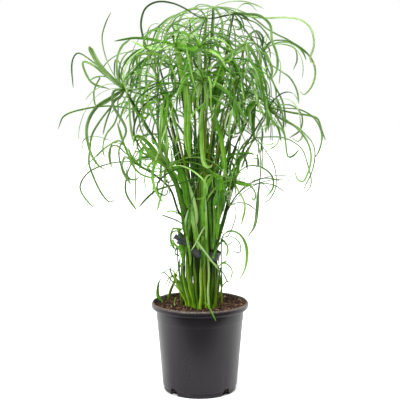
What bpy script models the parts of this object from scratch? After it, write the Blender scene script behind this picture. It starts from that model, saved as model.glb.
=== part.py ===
"""Potted papyrus plant: a nursery pot, its root ball, and a banded clump of umbrella shoots.

Metres, +Z up. The origin is the middle of the pot's foot, and the front faces -Y.

Each shoot is one piece: a three-sided culm with a crown of ribbon leaves. A leaf that can be
followed by eye from the front has its own route, given where it is seen in a picture of
400 x 400 pixels taken from the front, and the other leaves of a crown grow by a rule. All
culms and leaves then press each other aside until none of them touch.
"""

import math
import random
from typing import NamedTuple

import bmesh
import bpy
import numpy as np
from mathutils import Matrix, Vector, noise

MM = 0.001
GAP = 0.3 * MM

# Pot
POT_HEIGHT = 157 * MM
RIM_RADIUS = 85.3 * MM
COLLAR_TOP_RADIUS = 77.3 * MM
COLLAR_FOOT_RADIUS = 76.4 * MM
COLLAR_TOP = 142.5 * MM
COLLAR_FOOT = 126.8 * MM
WALL_TOP_RADIUS = 75.8 * MM
WALL_FOOT_RADIUS = 65.6 * MM
FOOT_BAND_RADIUS = 64.1 * MM
FOOT_BAND_TOP = 9.4 * MM
WALL = 1.6 * MM
HOLLOW_FOOT_RADIUS = 62.3 * MM
HOLLOW_TOP_RADIUS = 75.6 * MM
HOLLOW_TOP = 142 * MM
FLOOR_BEVEL = 4 * MM
POT_SIDES = 36
NOTCH_WIDTH = 17 * MM
NOTCH_TOP_SHARE = 0.65
NOTCH_HEIGHT = 12.5 * MM
NOTCH_LENGTH = 20 * MM
NOTCH_ANGLES = (45, 135, 225, 315)

# Root ball
SOIL_SHOULDER = 141.7 * MM
SOIL_EDGE_RADIUS = 79.9 * MM
SOIL_EDGE_LOWEST = 148.6 * MM
SOIL_EDGE_HIGHEST = 154.5 * MM
SOIL_TOP = 149 * MM
SOIL_FLAT_RADIUS = 38 * MM
FOOT_FLAT_RADIUS = 18 * MM
SOIL_RINGS = 3
SOIL_LUMP = 3.2 * MM
SOIL_RISE = 2 * MM
SOIL_SLOPE_X = 0.032
SOIL_SLOPE_Y = 0.006

# Band
BAND_HEIGHT = 247 * MM
BAND_CENTRE_X = -1.0 * MM
BAND_RADIUS = 35.4 * MM
BAND_WIDTH = 14 * MM
BAND_THICKNESS = 1.6 * MM
BAND_TILT = math.radians(15.5)
BAND_SIDES = 32
BAND_TAIL = 13 * MM
BAND_TAIL_SPREAD = 2.5 * MM

# Culms
BUNDLE_RADIUS = 29 * MM
CULM_TOP_RADIUS = 1.9 * MM
CULM_FOOT_RADIUS = 2.7 * MM
CULM_SPACING = 5.6 * MM
CULM_STEPS = 5
FAN_HEIGHT = 298 * MM
BUNDLE_TWIST = math.radians(14)

# Crowns and leaves
HUB_HEIGHT = 5.0 * MM
HUB_RADIUS = 3.2 * MM
LEAF_KEEL = 0.22
LEAF_TIP = 0.16
LEAF_ROOT = 0.62
LEAF_STEPS = 5
LEAF_TURN = math.radians(32)

# Leaves that grow by rule: lowest and highest angle up and angle of drop in degrees, length in
# metres and width in mm, then how far bearing, sway and roll may stray, in radians
GROWN_PITCH = (8, 62)
GROWN_DROP = (95, 200)
GROWN_LENGTH = (0.11, 0.22)
GROWN_WIDTH = (4.2, 7.0)
GROWN_STRAY = 0.35
GROWN_SWAY = 0.9
GROWN_ROLL = 0.5
GROWN_TRIES = 40
GROWN_SHORTER = 0.012

CLEARANCE = 0.9 * MM
ROUNDS = 160

# How leaves leave the hub: hub turns that are tried, the angle between a leaf and its face of the
# hub that costs extra, how much, and the rolls of a leaf's root, in degrees, that are tried
HUB_TURNS = 24
STEEP_ANGLE = math.radians(62)
STEEP_COST = 60
ROOT_ROLLS = (0, 12, -12, 24, -24, 36, -36, 48, -48, 60, -60, 75, -75)
ROOT_RUNS = 3

# The view that the routes are read in: its eye, its downward tilt and its focal length in pixels
EYE_DISTANCE = 1.6
EYE_HEIGHT = 0.517
EYE_TILT = math.radians(6.46)
FOCAL_PIXELS = 926
PICTURE_MIDDLE = 200

# How far to the left and right, in pixels, the leaves that grow by rule may be seen at each row
OUTLINE = (
    (2, 165, 245),
    (20, 142, 262),
    (60, 118, 274),
    (110, 98, 284),
    (150, 108, 286),
    (185, 128, 272),
    (208, 150, 254),
)


class Blade(NamedTuple):
    """A leaf that can be followed by eye: width and backward lean in mm, and its route."""

    width: float
    lean: float
    route: tuple
    blunt: bool = False


class Shoot(NamedTuple):
    """A culm and its crown: where the crown is seen, its depth in mm, and its leaves.

    To the leaves on a route come as many grown ones, of a reach. A culm outside the band has
    its own foot, in mm, and one that bends over has a route too, of columns, rows and depths.
    """

    crown: tuple
    depth: float
    blades: tuple = ()
    grown: int = 0
    reach: float = 1.0
    foot: tuple = ()
    bend: tuple = ()


SHOOTS = {
    "shoot_top": Shoot((213, 8), 10, (
        Blade(3.2, 50, ((207, 5), (199, 4.5), (193, 8))),
        Blade(4.0, -16, ((207, 9), (190, 10), (176, 15), (165, 23), (158, 33), (155, 40))),
        Blade(4.6, -32, ((214, 16), (213, 28), (213, 39))),
        Blade(6.0, -42, ((218, 12), (222, 22), (222, 33), (219, 45))),
        Blade(2.8, 36, ((221, 4), (232, 1.5), (244, 1.5), (256, 5), (264, 9))),
        Blade(3.4, 90, ((222, 7), (235, 9), (246, 13), (256, 17))),
    )),
    "shoot_top_front": Shoot((206, 20), -22, (
        Blade(5.0, 18, ((197, 16), (186, 9), (172, 3), (156, 2), (145, 9), (141, 23), (143, 37), (148, 50))),
        Blade(4.6, -27, ((203, 13), (197, 8.5), (190, 10))),
        Blade(8.0, -45, ((199, 27), (192, 33), (186, 39))),
        Blade(5.0, -51, ((205, 28), (203.5, 38), (202, 48))),
        Blade(4.2, 12, ((201, 30), (199, 42))),
        Blade(4.4, -12, ((215, 18), (226, 15.5), (239, 14), (250, 20))),
        Blade(3.6, 33, ((196, 18), (183, 19), (172, 25), (163, 38))),
        Blade(4.2, 45, ((198, 21.5), (188, 23), (179, 28))),
    )),
    "shoot_top_right": Shoot((233, 14), 15, (
        Blade(5.2, -26, (
            (246, 16), (266, 18), (286, 17.5), (301, 20), (311, 29), (314, 45), (310, 60), (316, 66),
        )),
        Blade(6.4, -44, ((246, 14), (260, 16), (270, 25), (272, 40), (277, 55), (277, 70), (271, 80))),
        Blade(4.0, 24, ((242, 18), (256, 23), (266, 33), (271, 42))),
        Blade(5.0, 56, (
            (250, 16), (269, 30), (290, 41), (307, 53), (315, 68), (313, 84), (304, 95), (300, 91),
        )),
        Blade(5.2, -31, ((240, 23), (249, 35), (258, 48), (265, 63), (268, 80))),
        Blade(3.0, 32, ((236, 10), (243, 4), (250, 4), (257, 11))),
        Blade(4.6, -39, ((227, 20), (221, 29), (216, 41))),
    )),
    "shoot_right_high": Shoot((245, 45), -38, (
        Blade(5.0, 18, ((249, 35), (257, 31), (263, 38), (262, 48))),
        Blade(6.5, -18, ((254, 55), (261, 70), (266, 86), (267, 98))),
        Blade(7.5, -33, ((250, 58), (257, 72), (260, 88), (262, 100))),
        Blade(5.0, -39, ((248, 58), (246, 70), (244, 78))),
        Blade(6.5, -76, ((236, 50), (224, 59), (213, 67))),
        Blade(6.0, -12, ((236, 46), (226, 38), (213, 32.5))),
        Blade(5.0, 21, ((252, 42), (258, 50), (262, 62))),
    ), 1),
    "shoot_right_far": Shoot((263, 52), 40, (
        Blade(5.0, 36, ((268, 46), (272, 39), (271, 28))),
        Blade(6.5, -18, ((268, 58), (272, 70), (271, 79))),
        Blade(3.4, 44, ((272, 45), (285, 44.5), (295, 49), (297, 60), (293, 70))),
        Blade(4.2, 16, ((270, 42), (284, 40.5), (297, 46), (309, 55))),
        Blade(4.2, 60, ((268, 62), (279, 70), (290, 78), (297, 91), (299, 104))),
        Blade(4.2, 24, ((267, 66), (274, 84), (283, 103), (286, 127))),
    ), 1),
    "shoot_right": Shoot((268, 109), -18, (
        Blade(5.2, -15, ((272, 102), (276, 98), (280, 106), (283, 117))),
        Blade(5.0, -24, ((283, 108), (301, 110), (315, 119), (322, 135), (319, 151), (314, 159))),
        Blade(4.4, 39, ((279, 105), (293, 106), (302, 116), (300, 130), (289, 138))),
        Blade(6.4, -51, ((280, 118), (296, 127), (308, 143), (311, 160), (304, 181), (298, 180), (294, 169))),
        Blade(4.0, 18, ((288, 121), (303, 132), (314, 147), (313, 168), (302, 192))),
        Blade(5.6, -63, ((276, 116), (284, 132), (288, 157), (293, 156), (300, 148))),
        Blade(4.6, -30, ((265, 118), (260, 126), (256, 134))),
    ), 1),
    "shoot_right_low": Shoot((254, 139), 25, (
        Blade(5.2, -31, ((259, 148), (261, 168), (258, 193), (255, 224), (247, 237))),
        Blade(3.4, 40, ((263, 147), (274, 165), (276, 186), (269, 200), (260, 203))),
        Blade(4.4, 20, ((266, 137), (284, 138), (301, 148), (308, 166), (311, 184), (304, 195))),
        Blade(4.8, -29, ((249, 149), (241, 169))),
        Blade(3.8, 56, ((259, 130), (268, 124), (279, 127), (286, 137))),
        Blade(4.4, -23, ((248, 144), (240, 150), (236, 156))),
        Blade(3.2, 72, ((261, 143), (270, 144.5), (279, 141))),
    )),
    "shoot_right_middle": Shoot((232, 183), -22, (
        Blade(7.4, -18, ((242, 184), (252, 185)), True),
        Blade(4.2, 27, ((238, 173), (248, 166), (261, 167), (272, 176), (273, 188), (265, 198))),
        Blade(5.4, -33, ((238, 190), (245, 205), (241, 226))),
        Blade(6.0, -21, ((230, 171), (233, 157), (237, 146))),
        Blade(5.0, 15, ((237, 172), (240, 156))),
        Blade(5.5, -51, ((227, 175), (223, 166), (220, 154))),
    )),
    "shoot_right_small": Shoot((229, 207), 22, (
        Blade(3.2, 14, ((236, 203), (247, 204), (256, 210))),
        Blade(3.4, -8, ((234, 204), (236, 214), (232, 229), (226, 239))),
    ), 2, 0.6),
    "shoot_left": Shoot((126, 91), -15, (
        Blade(8.6, -33, ((114, 81), (100, 66), (89, 46.5)), True),
        Blade(6.4, -15, ((110, 79), (93, 65), (83, 62), (86, 74), (93, 83.5), (110, 89))),
        Blade(5.4, 24, ((111, 76), (93, 62), (78, 53), (72, 62), (73, 88))),
        Blade(3.2, 51, ((117, 80), (107, 61), (102, 38), (106, 22), (111, 12))),
        Blade(5.4, 18, ((118, 78), (117, 60), (122, 46), (131, 39))),
        Blade(5.2, -27, ((121, 74), (127, 60), (137, 51), (149, 48))),
        Blade(7.4, -42, ((112, 97), (96, 108), (87, 126), (89, 148), (97, 164), (107, 171))),
        Blade(7.4, -66, ((114, 91), (113, 105), (126, 130), (119, 150), (122, 169), (128, 178))),
        Blade(5.2, -54, ((129, 101), (130, 120), (133, 142))),
        Blade(5.0, 36, ((136, 93), (149, 96), (162, 100))),
    )),
    "shoot_left_far": Shoot((150, 57), 52, (
        Blade(6.6, -23, ((140, 64), (131, 75), (126, 87))),
        Blade(4.4, 24, ((139, 63), (128, 72), (123, 84))),
        Blade(6.6, -34, ((147, 69), (146, 82), (148, 94))),
        Blade(4.6, 44, ((156, 52), (164, 60), (175, 72))),
        Blade(3.6, 48, ((141, 53), (130, 56), (122, 64))),
        Blade(5.4, -10, ((142, 68), (137, 80), (136, 92))),
    ), 1),
    "shoot_left_middle": Shoot((160, 84), 18, (
        Blade(6.0, -12, ((147, 87), (132, 90), (120, 92))),
        Blade(4.2, 14, ((150, 81), (140, 82), (130, 89))),
        Blade(6.6, -20, ((165, 95), (174, 110), (179, 124))),
        Blade(4.6, -14, ((158, 93), (157, 108), (158, 126))),
    ), 2),
    "shoot_left_inner": Shoot((168, 98), -12, (
        Blade(4.4, 20, ((155, 115), (136, 110), (110, 106), (84, 109), (64, 116), (58, 129))),
        Blade(6.6, -14, ((172, 112), (177, 132), (176, 146))),
        Blade(6.6, -8, ((163, 110), (162, 134))),
        Blade(5.0, 12, ((156, 110), (148, 101), (143, 91))),
    ), 1),
    "shoot_left_low": Shoot((168, 171), -46, (
        Blade(9.4, -34, ((158, 157), (147, 142), (136, 136), (133, 147))),
        Blade(5.2, 19, ((153, 177.5), (137, 171), (125, 147), (117, 122))),
        Blade(5.4, -45, ((164, 184), (157, 211))),
        Blade(7.0, -78, ((157, 161), (152.5, 176), (156, 191), (164, 204))),
        Blade(4.0, 42, ((155, 168), (141, 164))),
        Blade(6.4, 6, ((166, 150), (163, 128))),
        Blade(8.0, 16, ((160, 150), (151, 138))),
    ), 1, 0.9),
    "shoot_left_thin": Shoot((134, 163), 34, (
        Blade(3.8, -16, ((112, 163), (89, 172), (80, 188), (93, 207), (94, 200))),
        Blade(4.4, -29, ((125, 158), (122, 170), (131, 185))),
        Blade(4.6, 24, ((127, 175), (126, 193), (137, 211))),
        Blade(4.4, 20, ((138, 153), (147, 142))),
        Blade(3.8, 52, ((126, 147), (113, 143), (109, 157), (112, 169))),
        Blade(3.0, -31, ((120, 141), (106, 148), (96, 158))),
        Blade(3.2, 8, ((143, 160), (154, 159))),
    ), bend=((178, 211, -4), (170, 189, 8), (153, 174, 26))),
    "shoot_top_left": Shoot((173, 37), 30, (
        Blade(6.4, -16, ((176, 27), (183, 14), (191, 9))),
        Blade(3.2, 40, ((163, 33), (152, 31), (144, 37))),
        Blade(4.2, 24, ((179, 27), (190, 20), (200, 20))),
        Blade(4.6, -10, ((165, 40), (161, 51), (163, 62))),
    ), 2),
    "shoot_front_left": Shoot((176, 47), -72, (
        Blade(6.6, 26, ((159, 41), (136, 38), (114, 41))),
        Blade(6.6, 45, ((160, 49), (145, 47), (131, 41))),
        Blade(9.4, -34, ((187, 48), (199, 50)), True),
        Blade(3.8, 29, ((181, 33), (190, 35), (197, 47))),
        Blade(5.0, -56, ((166, 54), (162, 62), (158, 72))),
        Blade(6.0, -39, ((182, 57), (190, 70), (191, 84))),
        Blade(7.0, -28, ((184, 43), (191, 36), (199, 31))),
    ), 2),
    "shoot_front": Shoot((200, 49), -88, (
        Blade(7.4, -39, ((211, 51), (221, 58), (226, 68))),
        Blade(6.4, 22, ((204, 39), (210, 34))),
        Blade(5.2, 10, ((212, 43), (225, 49), (236, 56))),
        Blade(6.0, -50, ((192, 53), (187, 61), (186, 72))),
    ), 3, 1.1),
    "shoot_middle": Shoot((222, 63), -62, (
        Blade(6.2, -34, ((232, 56), (244, 50))),
        Blade(5.2, -45, ((211, 68), (203, 72))),
        Blade(6.0, 13, ((229, 63), (236, 69), (241, 80))),
        Blade(6.6, -73, ((218, 74), (213, 88))),
    ), 2),
    "shoot_right_inner": Shoot((241, 73), -42, (
        Blade(7.4, -45, ((234, 80), (229, 91))),
        Blade(6.2, -34, ((251, 83), (258, 101), (261, 115))),
        Blade(7.4, -67, ((242, 86), (244, 100))),
        Blade(5.2, 19, ((249, 68), (258, 74), (264, 84))),
    ), 2),
    "shoot_right_centre": Shoot((246, 97), 2, (
        Blade(7.0, -30, ((252, 104), (250, 118))),
        Blade(4.8, 22, ((255, 92), (264, 96), (271, 107))),
        Blade(6.0, -26, ((237, 103), (234, 118))),
    ), 2),
    "shoot_centre": Shoot((203, 81), -98, (
        Blade(6.4, -22, ((217, 85), (230, 95), (240, 109), (247, 122))),
        Blade(4.6, -34, ((213, 77), (227, 73))),
        Blade(5.6, -34, ((196, 88), (192, 102))),
        Blade(4.4, 16, ((198, 74), (190, 72), (183, 78))),
    ), 2, 1.1),
    "shoot_centre_low": Shoot((207, 97), -80, (
        Blade(3.8, -34, ((215, 99), (226, 107))),
        Blade(6.0, -34, ((203, 106), (195, 111), (191, 120))),
        Blade(6.6, -50, ((214, 108), (216, 122), (212, 134))),
    ), 3),
    "shoot_right_inner_low": Shoot((255, 105), -36, (
        Blade(6.6, -18, ((250, 112), (251, 128))),
        Blade(5.2, -24, ((261, 108), (264, 118))),
        Blade(4.6, 15, ((250, 98), (243, 97), (236, 104))),
    ), 1),
    "shoot_front_low": Shoot((213, 176), -66, (
        Blade(4.8, -17, ((199, 177.5), (178, 184), (157, 190), (146, 199), (138, 208))),
        Blade(5.0, -22, ((219, 179), (226, 173))),
        Blade(5.0, 13, ((208, 167), (203, 158), (201, 149))),
        Blade(5.6, -28, ((209, 184), (204, 197), (205, 214))),
        Blade(5.6, -11, ((218, 185), (224, 197), (223, 212))),
    ), 2, 0.9),
    "shoot_left_edge": Shoot((185, 226), -27, (
        Blade(3.8, 4, ((178, 221), (161, 214.5))),
        Blade(3.8, 16, ((181, 216), (172, 211), (164, 213))),
        Blade(4.4, -10, ((180, 230), (173, 228), (171, 240), (175, 249))),
    )),
    "shoot_right_edge": Shoot((221, 239), -9, (
        Blade(7.2, -10, ((229, 230.5), (241, 235), (247, 252), (243, 274), (237, 281))),
        Blade(5.0, -22, ((226, 243), (228, 250), (226, 257))),
        Blade(3.2, 12, ((229, 236), (239, 242), (240, 252), (231, 251))),
        Blade(3.2, -12, ((227, 245), (233, 241))),
    ), 0, 0.4, (38, -11)),
    "shoot_foot_left": Shoot((177, 246), -12, (
        Blade(4.2, -14, ((173, 239), (177, 236))),
        Blade(3.0, 16, ((174, 257), (171, 262))),
        Blade(4.6, -16, ((175, 253), (180, 256))),
    ), 0, 0.4, (-33, -7)),
    "shoot_foot_right": Shoot((218, 267), -37, (
        Blade(8.4, -4, ((210, 260), (201, 249), (195, 238), (192, 224))),
        Blade(3.8, 14, ((225, 263), (232, 270), (230, 281))),
        Blade(3.4, 4, ((223, 273), (228, 283))),
        Blade(4.4, 2, ((222, 263), (227, 261))),
        Blade(3.6, -6, ((220, 276), (221, 288))),
    ), 0, 0.4, (27, -30)),
    "shoot_young_left": Shoot((176, 274), 26, (
        Blade(4.4, -6, ((179, 268), (184, 261))),
        Blade(2.8, 14, ((170, 269.5), (161, 274))),
        Blade(2.8, -8, ((171, 278), (168, 287))),
        Blade(4.2, -12, ((180, 279), (186, 286))),
    ), 0, 0.4, (-57, 34)),
    "shoot_back_left": Shoot((158, 62), 104, (), 6),
    "shoot_back_top": Shoot((190, 30), 92, (), 6),
    "shoot_back_right": Shoot((229, 44), 108, (), 6),
    "shoot_back_left_low": Shoot((164, 118), 118, (), 6),
    "shoot_back": Shoot((202, 86), 138, (), 6),
    "shoot_back_right_low": Shoot((238, 112), 112, (), 6),
    "shoot_back_low": Shoot((198, 160), 104, (), 5, 0.8),
}

# A cut leaf lies from the clump over the front of the rim, and a young culm stands at the left rim
RIM_LEAF_WIDTH = 3.6
RIM_LEAF_ROUTE = (
    (204, 303, -38), (207, 304.5, -55), (211, 310.5, -81), (213, 315, -88.5), (215.8, 320.5, -89),
)
SPROUT_WIDTH = 3.4
SPROUT_ROUTE = ((162, 302.6, 22), (158.2, 296.5, 26), (157.8, 288, 26), (159, 282, 24), (161.5, 278, 22))


def sighted(column: float, row: float, depth: float) -> Vector:
    """Place of a point seen at a column and row of the picture, at a depth behind the pot's axis."""
    across = (column - PICTURE_MIDDLE) / FOCAL_PIXELS
    above = (PICTURE_MIDDLE - row) / FOCAL_PIXELS
    away = EYE_DISTANCE + depth
    cosine, sine = math.cos(EYE_TILT), math.sin(EYE_TILT)
    rise = away * (above * cosine - sine) / (cosine + above * sine)
    forward = away * cosine - rise * sine
    return Vector((across * forward, depth, EYE_HEIGHT + rise))


def seen_at(point: Vector) -> tuple:
    """Column and row at which a point is seen."""
    away, rise = point.y + EYE_DISTANCE, point.z - EYE_HEIGHT
    forward = away * math.cos(EYE_TILT) - rise * math.sin(EYE_TILT)
    up = rise * math.cos(EYE_TILT) + away * math.sin(EYE_TILT)
    column = PICTURE_MIDDLE + FOCAL_PIXELS * point.x / forward
    return column, PICTURE_MIDDLE - FOCAL_PIXELS * up / forward


class Strand:
    """A culm or a leaf as a chain of points, with half its width at each."""

    def __init__(self, shoot: str, points: list, halves: list, held: set):
        self.shoot = shoot
        self.points = np.array([tuple(point) for point in points])
        self.halves = np.array(halves)
        self.held = held
        self.seen = False
        self.roll = 0.0
        self.culm = False


def leaf_fullness(way: float, blunt: bool) -> float:
    """Width of a leaf, as a share of its widest, at a share of the way from root to tip."""
    swell = LEAF_ROOT + (1 - LEAF_ROOT) * math.sin(min(1.0, way / 0.3) * math.pi / 2)
    if blunt:
        return swell * (1 - 0.15 * way)
    return swell * (LEAF_TIP + (1 - LEAF_TIP) * (1 - max(0.0, way - 0.25) / 0.75) ** 0.9)


def shares_along(points: list) -> list:
    """Share of the whole way at each point of a chain."""
    runs = [0.0]
    for before, after in zip(points, points[1:]):
        runs.append(runs[-1] + (after - before).length)
    return [run / runs[-1] for run in runs]


def leaf_strand(shoot: str, points: list, width: float, roll: float, blunt: bool = False) -> Strand:
    """A leaf through points, the first of which is its crown."""
    halves = [width / 2 * leaf_fullness(way, blunt) for way in shares_along(points)]
    strand = Strand(shoot, points, halves, {0})
    strand.roll = roll
    return strand


def seen_leaf(name: str, shoot: Shoot, blade: Blade, roll: float) -> Strand:
    """A leaf on its route, which leans away from its crown's depth along the way."""
    depth = shoot.depth * MM
    crown = sighted(*shoot.crown, depth)
    flat = [crown] + [sighted(column, row, depth) for column, row in blade.route]
    points = [crown]
    for (column, row), way in zip(blade.route, shares_along(flat)[1:]):
        points.append(sighted(column, row, depth + blade.lean * MM * way * (2 - way)))
    strand = leaf_strand(name, points, blade.width * MM / math.cos(roll), roll, blade.blunt)
    strand.seen = True
    return strand


def inside_outline(point: Vector) -> bool:
    """Whether a point is seen within the outline of the mass of leaves."""
    column, row = seen_at(point)
    if row < OUTLINE[0][0] or row > OUTLINE[-1][0]:
        return False
    for (top, top_left, top_right), (low, low_left, low_right) in zip(OUTLINE, OUTLINE[1:]):
        if row <= low:
            way = (row - top) / (low - top)
            left = top_left + (low_left - top_left) * way
            right = top_right + (low_right - top_right) * way
            return left <= column <= right
    return False


def grown_leaf(name: str, crown: Vector, heading: float, reach: float, chance: random.Random) -> Strand:
    """A leaf that rises from its crown, arches over and curls, drawn again until it fits the outline.

    Each further try is a little shorter.
    """
    for attempt in range(GROWN_TRIES):
        bearing = heading + chance.uniform(-GROWN_STRAY, GROWN_STRAY)
        pitch = math.radians(chance.uniform(*GROWN_PITCH))
        length = reach * chance.uniform(*GROWN_LENGTH) * (1 - GROWN_SHORTER * attempt)
        drop = math.radians(chance.uniform(*GROWN_DROP))
        sway = chance.uniform(-GROWN_SWAY, GROWN_SWAY)
        width = chance.uniform(*GROWN_WIDTH) * MM
        points = [crown]
        for step in range(LEAF_STEPS):
            way = (step + 0.5) / LEAF_STEPS
            slope = pitch - drop * way ** 1.5
            aim = bearing + sway * way * way
            level = math.cos(slope)
            run = Vector((level * math.cos(aim), level * math.sin(aim), math.sin(slope)))
            points.append(points[-1] + run * (length / LEAF_STEPS))
        if all(inside_outline(point) for point in points[1:]):
            break
    return leaf_strand(name, points, width, chance.uniform(-GROWN_ROLL, GROWN_ROLL))


def free_headings(crown: Vector, leaves: list, count: int) -> list:
    """Bearings for more leaves of a crown, each in the middle of the widest gap that is left."""
    taken = sorted(math.atan2(leaf.points[1][1] - crown.y, leaf.points[1][0] - crown.x) for leaf in leaves)
    if not taken:
        first = math.atan2(crown.y, crown.x)
        return [first + 2 * math.pi * step / count for step in range(count)]
    headings = []
    for _ in range(count):
        nexts = taken[1:] + [taken[0] + 2 * math.pi]
        gaps = [(after - before, before) for before, after in zip(taken, nexts)]
        gap, before = max(gaps)
        headings.append(before + gap / 2)
        taken = sorted(taken + [headings[-1]])
    return headings


def bundle_places(crowns: dict) -> dict:
    """Where each culm passes through the band: on its crown's side, and further out the more it leans."""
    lean = {name: crown.xy.length / (crown.z - BAND_HEIGHT) for name, crown in crowns.items()}
    order = sorted(crowns, key=lambda name: lean[name])
    places = []
    for rank, name in enumerate(order):
        radius = BUNDLE_RADIUS * math.sqrt((rank + 0.5) / len(order))
        places.append(crowns[name].xy.normalized() * radius)
    for _ in range(200):
        for one in range(len(places)):
            for other in range(one + 1, len(places)):
                apart = places[one] - places[other]
                short = CULM_SPACING + GAP - apart.length
                if short > 0:
                    push = apart.normalized() * (short / 2)
                    places[one] = places[one] + push
                    places[other] = places[other] - push
        places = [place * min(1.0, BUNDLE_RADIUS / place.length) for place in places]
    return dict(zip(order, places))


def bezier(knots: list, way: float) -> Vector:
    """Point on a cubic curve with four knots."""
    back = 1 - way
    shares = (back ** 3, 3 * back * back * way, 3 * back * way * way, way ** 3)
    return sum((knot * share for knot, share in zip(knots, shares)), Vector((0, 0, 0)))


def culm_strand(name: str, shoot: Shoot, crown: Vector, place: Vector) -> Strand:
    """A culm from the soil to its crown, upright as far as the fan starts and bowing outwards above."""
    soil = SOIL_TOP + GAP
    if shoot.foot:
        start = Vector((*shoot.foot, soil / MM)) * MM
        rise = Vector((0, 0, crown.z - soil))
        knots = [start, start + rise * 0.4, crown - rise * 0.3, crown]
        points = [bezier(knots, step / 3) for step in range(4)]
        held = {0, 3}
    else:
        turned = Matrix.Rotation(BUNDLE_TWIST, 2) @ place
        low = Vector((turned.x, turned.y, soil))
        fan = Vector((place.x, place.y, FAN_HEIGHT))
        points = [low, low.lerp(fan, 0.5)]
        if shoot.bend:
            bend = [sighted(column, row, depth * MM) for column, row, depth in shoot.bend]
            points += [fan] + bend + [crown]
            held = {0, 1, len(points) - 1}
        elif crown.z < FAN_HEIGHT + 30 * MM:
            points = [low, Vector((place.x, place.y, BAND_HEIGHT + BAND_WIDTH)), crown]
            held = {0, 1, 2}
        else:
            reach = crown - fan
            out = Vector((reach.x, reach.y, 0))
            arrive = (Vector((0, 0, reach.z)) + out * 1.3).normalized() * reach.length
            knots = [fan, fan + Vector((0, 0, reach.z * 0.3)) + out * 0.1, crown - arrive * 0.35, crown]
            points += [bezier(knots, step / CULM_STEPS) for step in range(CULM_STEPS + 1)]
            held = {0, 1, len(points) - 1}
    halves = [CULM_FOOT_RADIUS + (CULM_TOP_RADIUS - CULM_FOOT_RADIUS) * way for way in shares_along(points)]
    strand = Strand(name, points, halves, held)
    strand.culm = True
    return strand


def nearest_points(start_a, run_a, start_b, run_b) -> tuple:
    """For pairs of straight runs, how far along each the two come closest."""
    between = start_a - start_b
    aa = np.einsum("ij,ij->i", run_a, run_a)
    bb = np.einsum("ij,ij->i", run_b, run_b)
    ab = np.einsum("ij,ij->i", run_a, run_b)
    a_between = np.einsum("ij,ij->i", run_a, between)
    b_between = np.einsum("ij,ij->i", run_b, between)
    slant = np.maximum(aa * bb - ab * ab, 1e-14)
    along_a = np.clip((ab * b_between - a_between * bb) / slant, 0, 1)
    along_b = np.clip((ab * along_a + b_between) / bb, 0, 1)
    along_a = np.clip((ab * along_b - a_between) / aa, 0, 1)
    return along_a, along_b


def press_aside(strands: list, still: set):
    """Move the strands that are not still until each clears the others by their widths.

    A leaf that is seen only moves towards or away from the eye, so it keeps its place in the view.
    The first runs of one crown's leaves touch there, and are left alone.
    """
    nodes = np.vstack([strand.points for strand in strands])
    halves = np.concatenate([strand.halves for strand in strands])
    firsts, owners, ranks, free = [], [], [], []
    for owner, strand in enumerate(strands):
        offset = len(free)
        count = len(strand.points)
        firsts += range(offset, offset + count - 1)
        owners += [owner] * (count - 1)
        ranks += range(count - 1)
        free += [owner not in still and step not in strand.held for step in range(count)]
    firsts, owners, ranks = np.array(firsts), np.array(owners), np.array(ranks)
    free = np.array(free, dtype=float)
    shoots = np.array([sorted({s.shoot for s in strands}).index(strands[owner].shoot) for owner in owners])
    seen = np.repeat([strand.seen for strand in strands], [len(strand.points) for strand in strands])
    is_culm = np.array([strands[owner].culm for owner in owners])
    eye = np.array((0.0, -EYE_DISTANCE, EYE_HEIGHT))
    one, other = np.triu_indices(len(firsts), 1)
    joined = (owners[one] == owners[other]) & (abs(ranks[one] - ranks[other]) < 2)
    at_crown = (ranks == 0) | is_culm
    joined |= (shoots[one] == shoots[other]) & at_crown[one] & at_crown[other]
    one, other = one[~joined], other[~joined]
    for turn in range(ROUNDS):
        starts, ends = nodes[firsts], nodes[firsts + 1]
        if turn % 6 == 0:
            middles, spans = (starts + ends) / 2, np.linalg.norm(ends - starts, axis=1) / 2
            apart = np.linalg.norm(middles[one] - middles[other], axis=1) - spans[one] - spans[other]
            near = apart < 16 * MM
            pair_a, pair_b = one[near], other[near]
        along_a, along_b = nearest_points(
            starts[pair_a], (ends - starts)[pair_a], starts[pair_b], (ends - starts)[pair_b]
        )
        spot_a = starts[pair_a] + (ends - starts)[pair_a] * along_a[:, None]
        spot_b = starts[pair_b] + (ends - starts)[pair_b] * along_b[:, None]
        apart = spot_a - spot_b
        distance = np.maximum(np.linalg.norm(apart, axis=1), 1e-7)
        first_a, first_b = firsts[pair_a], firsts[pair_b]
        need = CLEARANCE + halves[first_a] * (1 - along_a) + halves[first_a + 1] * along_a
        need += halves[first_b] * (1 - along_b) + halves[first_b + 1] * along_b
        short = np.maximum(need - distance, 0)
        push = apart / distance[:, None] * short[:, None] * 0.5
        shift, hits = np.zeros_like(nodes), np.zeros(len(nodes))
        for first, along, sign in ((first_a, along_a, 1), (first_b, along_b, -1)):
            for node, share in ((first, 1 - along), (first + 1, along)):
                np.add.at(shift, node, sign * push * share[:, None])
                np.add.at(hits, node, (short > 0) * share)
        shift /= np.maximum(hits, 1)[:, None]
        sight = nodes - eye
        sight /= np.linalg.norm(sight, axis=1)[:, None]
        toward = np.einsum("ij,ij->i", shift, sight)
        size = np.linalg.norm(shift, axis=1) * np.where(toward < 0, -1.0, 1.0)
        shift = np.where(seen[:, None], sight * size[:, None], shift)
        nodes = nodes + shift * free[:, None]
    offset = 0
    for strand in strands:
        strand.points = nodes[offset:offset + len(strand.points)]
        offset += len(strand.points)


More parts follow.
